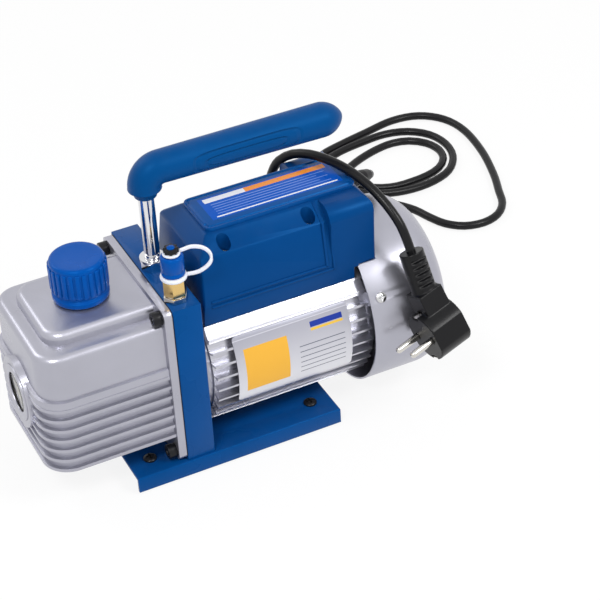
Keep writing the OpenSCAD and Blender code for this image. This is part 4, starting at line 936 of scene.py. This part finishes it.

# %% [markdown]
# ## Intake cap and its strap
# The cap is a plain turned cup with a soft rim, and a small button tops its knob. The strap is one
# moulding: a ring under the cap, a ring round its knob and a flat loop between them.

# %% Intake cap
cup_low, cup_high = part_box("intake_cap")
cup_middle = Vector(((cup_low.x + cup_high.x) / 2, (cup_low.y + cup_high.y) / 2, 0))
cup_r = (cup_high.x - cup_low.x) / 2
outline = (
    [(0.0055, cup_low.z + 0.0124), (0.0055, cup_low.z)]
    + arc((cup_r - 0.0005, cup_low.z + 0.0005), 0.0005, -90, 0, 3)
    + [(cup_r, cup_low.z + 0.0022), (cup_r - 0.0003, cup_low.z + 0.0026)]
    + [(cup_r - 0.0003, cup_low.z + 0.0032), (cup_r, cup_low.z + 0.0036)]
    + arc((cup_r - 0.0018, cup_high.z - 0.0018), 0.0018, 0, 90, 6)
    + [(0, cup_high.z), (0, cup_low.z + 0.0124), (0.0055, cup_low.z + 0.0124)])
fit(turned("intake_cap_finished", outline, cup_middle), "intake_cap")

# %% Button on the knob
knob_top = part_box("cap_knob")[1].z
outline = (
    [(0, knob_top - 0.0002), (0.0026, knob_top - 0.0002)]
    + arc((0.0022, knob_top + 0.0003), 0.0004, 0, 90, 3)
    + [(0, knob_top + 0.0007), (0, knob_top - 0.0002)])
fit(turned("knob_button", outline, cup_middle), slot="blue_cap_plastic", body="intake_cover")

# %% Strap
strap_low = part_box("cap_strap")[0]


def strap_ring(name, inner_r, outer_r, low_z, high_z):
    """A flat ring with a rounded outer edge."""
    edge = (high_z - low_z) / 2
    outline = [(inner_r, low_z), (outer_r - edge, low_z)]
    outline += arc((outer_r - edge, low_z + edge), edge, -90, 90, 6)
    return turned(name, outline + [(inner_r, high_z), (inner_r, low_z)], cup_middle)


knob_z = cup_high.z
lower_ring = strap_ring("lower_ring", 0.0054, 0.009, strap_low.z, cup_low.z - 0.0003)
upper_ring = strap_ring("upper_ring", 0.0038, 0.006, knob_z + 0.0003, knob_z + 0.0021)
loop_foot = cup_middle + Vector((0, 0, strap_low.z - 0.00005))
loop = [
    (8, -1.5, 1.2), (15, -4, 2), (21, -6, 5.5), (24.5, -6, 9.5), (24.5, -4, 14), (20.5, -2, 18),
    (14, -0.5, 20), (9, 0, 19.6), (5.8, 0, 19.3)]
loop_line = smooth_route([loop_foot + Vector(point) / 1000 for point in loop], 0.0015)
strap = round_curve("strap_loop", loop_line, 0.0009)
strap.data.extrude = 0.0005
strap.data.twist_mode = "Z_UP"
only(strap)
bpy.ops.object.convert(target="MESH")
strap = join([bpy.context.object, lower_ring, upper_ring], "strap_finished")
only(strap)
bpy.ops.object.shade_smooth_by_angle(angle=math.radians(50))
strap.data.materials.clear()
strap.data.materials.append(finishes["white_plastic"])
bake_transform(strap)
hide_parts("cap_strap")

# %% [markdown]
# ## Vane springs
# Behind each vane, two coil springs press it against the bore. A coil is worked out by a loop
# and drawn as a round curve.

# %% Springs
def spring_coil(name, middle_point, low_z, high_z, radius, wire, turns=7):
    """A coil spring along Z between two heights."""
    count = turns * 14
    line = []
    for k in range(count + 1):
        angle = math.tau * turns * k / count
        height = low_z + wire + (high_z - low_z - 2 * wire) * k / count
        line.append(middle_point + Vector((radius * math.cos(angle), radius * math.sin(angle), height)))
    return round_curve(name, line, wire)


for side in ("upper", "lower"):
    low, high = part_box(side + "_vane_springs")
    ends = [low.x + 0.0015, high.x - 0.0015]
    coils = []
    for place_x in ends:
        coil = spring_coil("coil", Vector((place_x, 0, 0)), low.z, high.z, 0.0012, 0.0002)
        coil.data.bevel_resolution = 1
        only(coil)
        bpy.ops.object.convert(target="MESH")
        coils.append(bpy.context.object)
    springs = join(coils, side + "_springs_finished")
    only(springs)
    bpy.ops.object.shade_smooth_by_angle(angle=math.radians(60))
    springs.data.materials.clear()
    springs.data.materials.append(finishes["bright_steel"])
    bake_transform(springs)
    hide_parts(side + "_vane_springs")

# %% [markdown]
# ## Rubber feet
# Each foot is a turned buffer: wider at the top, with a round lower edge where it meets the bench.

# %% Feet
foot_low, foot_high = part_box("rubber_feet")
foot_r = 0.009
outline = (
    [(0.0025, 0.003), (0, 0.003), (0, 0)]
    + arc((foot_r - 0.0015 - 0.001, 0.001), 0.001, -90, 0, 4)
    + [(foot_r - 0.0003, foot_high.z - 0.001), (foot_r, foot_high.z), (0.0025, foot_high.z), (0.0025, 0.003)])
feet = []
for foot_x in (foot_low.x + foot_r, foot_high.x - foot_r):
    for foot_y in (foot_low.y + foot_r, foot_high.y - foot_r):
        feet.append(turned("foot", outline, (foot_x, foot_y, 0), steps=32))
fit(join(feet, "feet_finished"), "rubber_feet")

# %% [markdown]
# ## The lead's finish
# The lead takes the black PVC finish and is parented to the root body, and the measured cord is hidden.

lead.data.materials.append(finishes["black_pvc"])
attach(lead, "root")
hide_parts("power_cord")
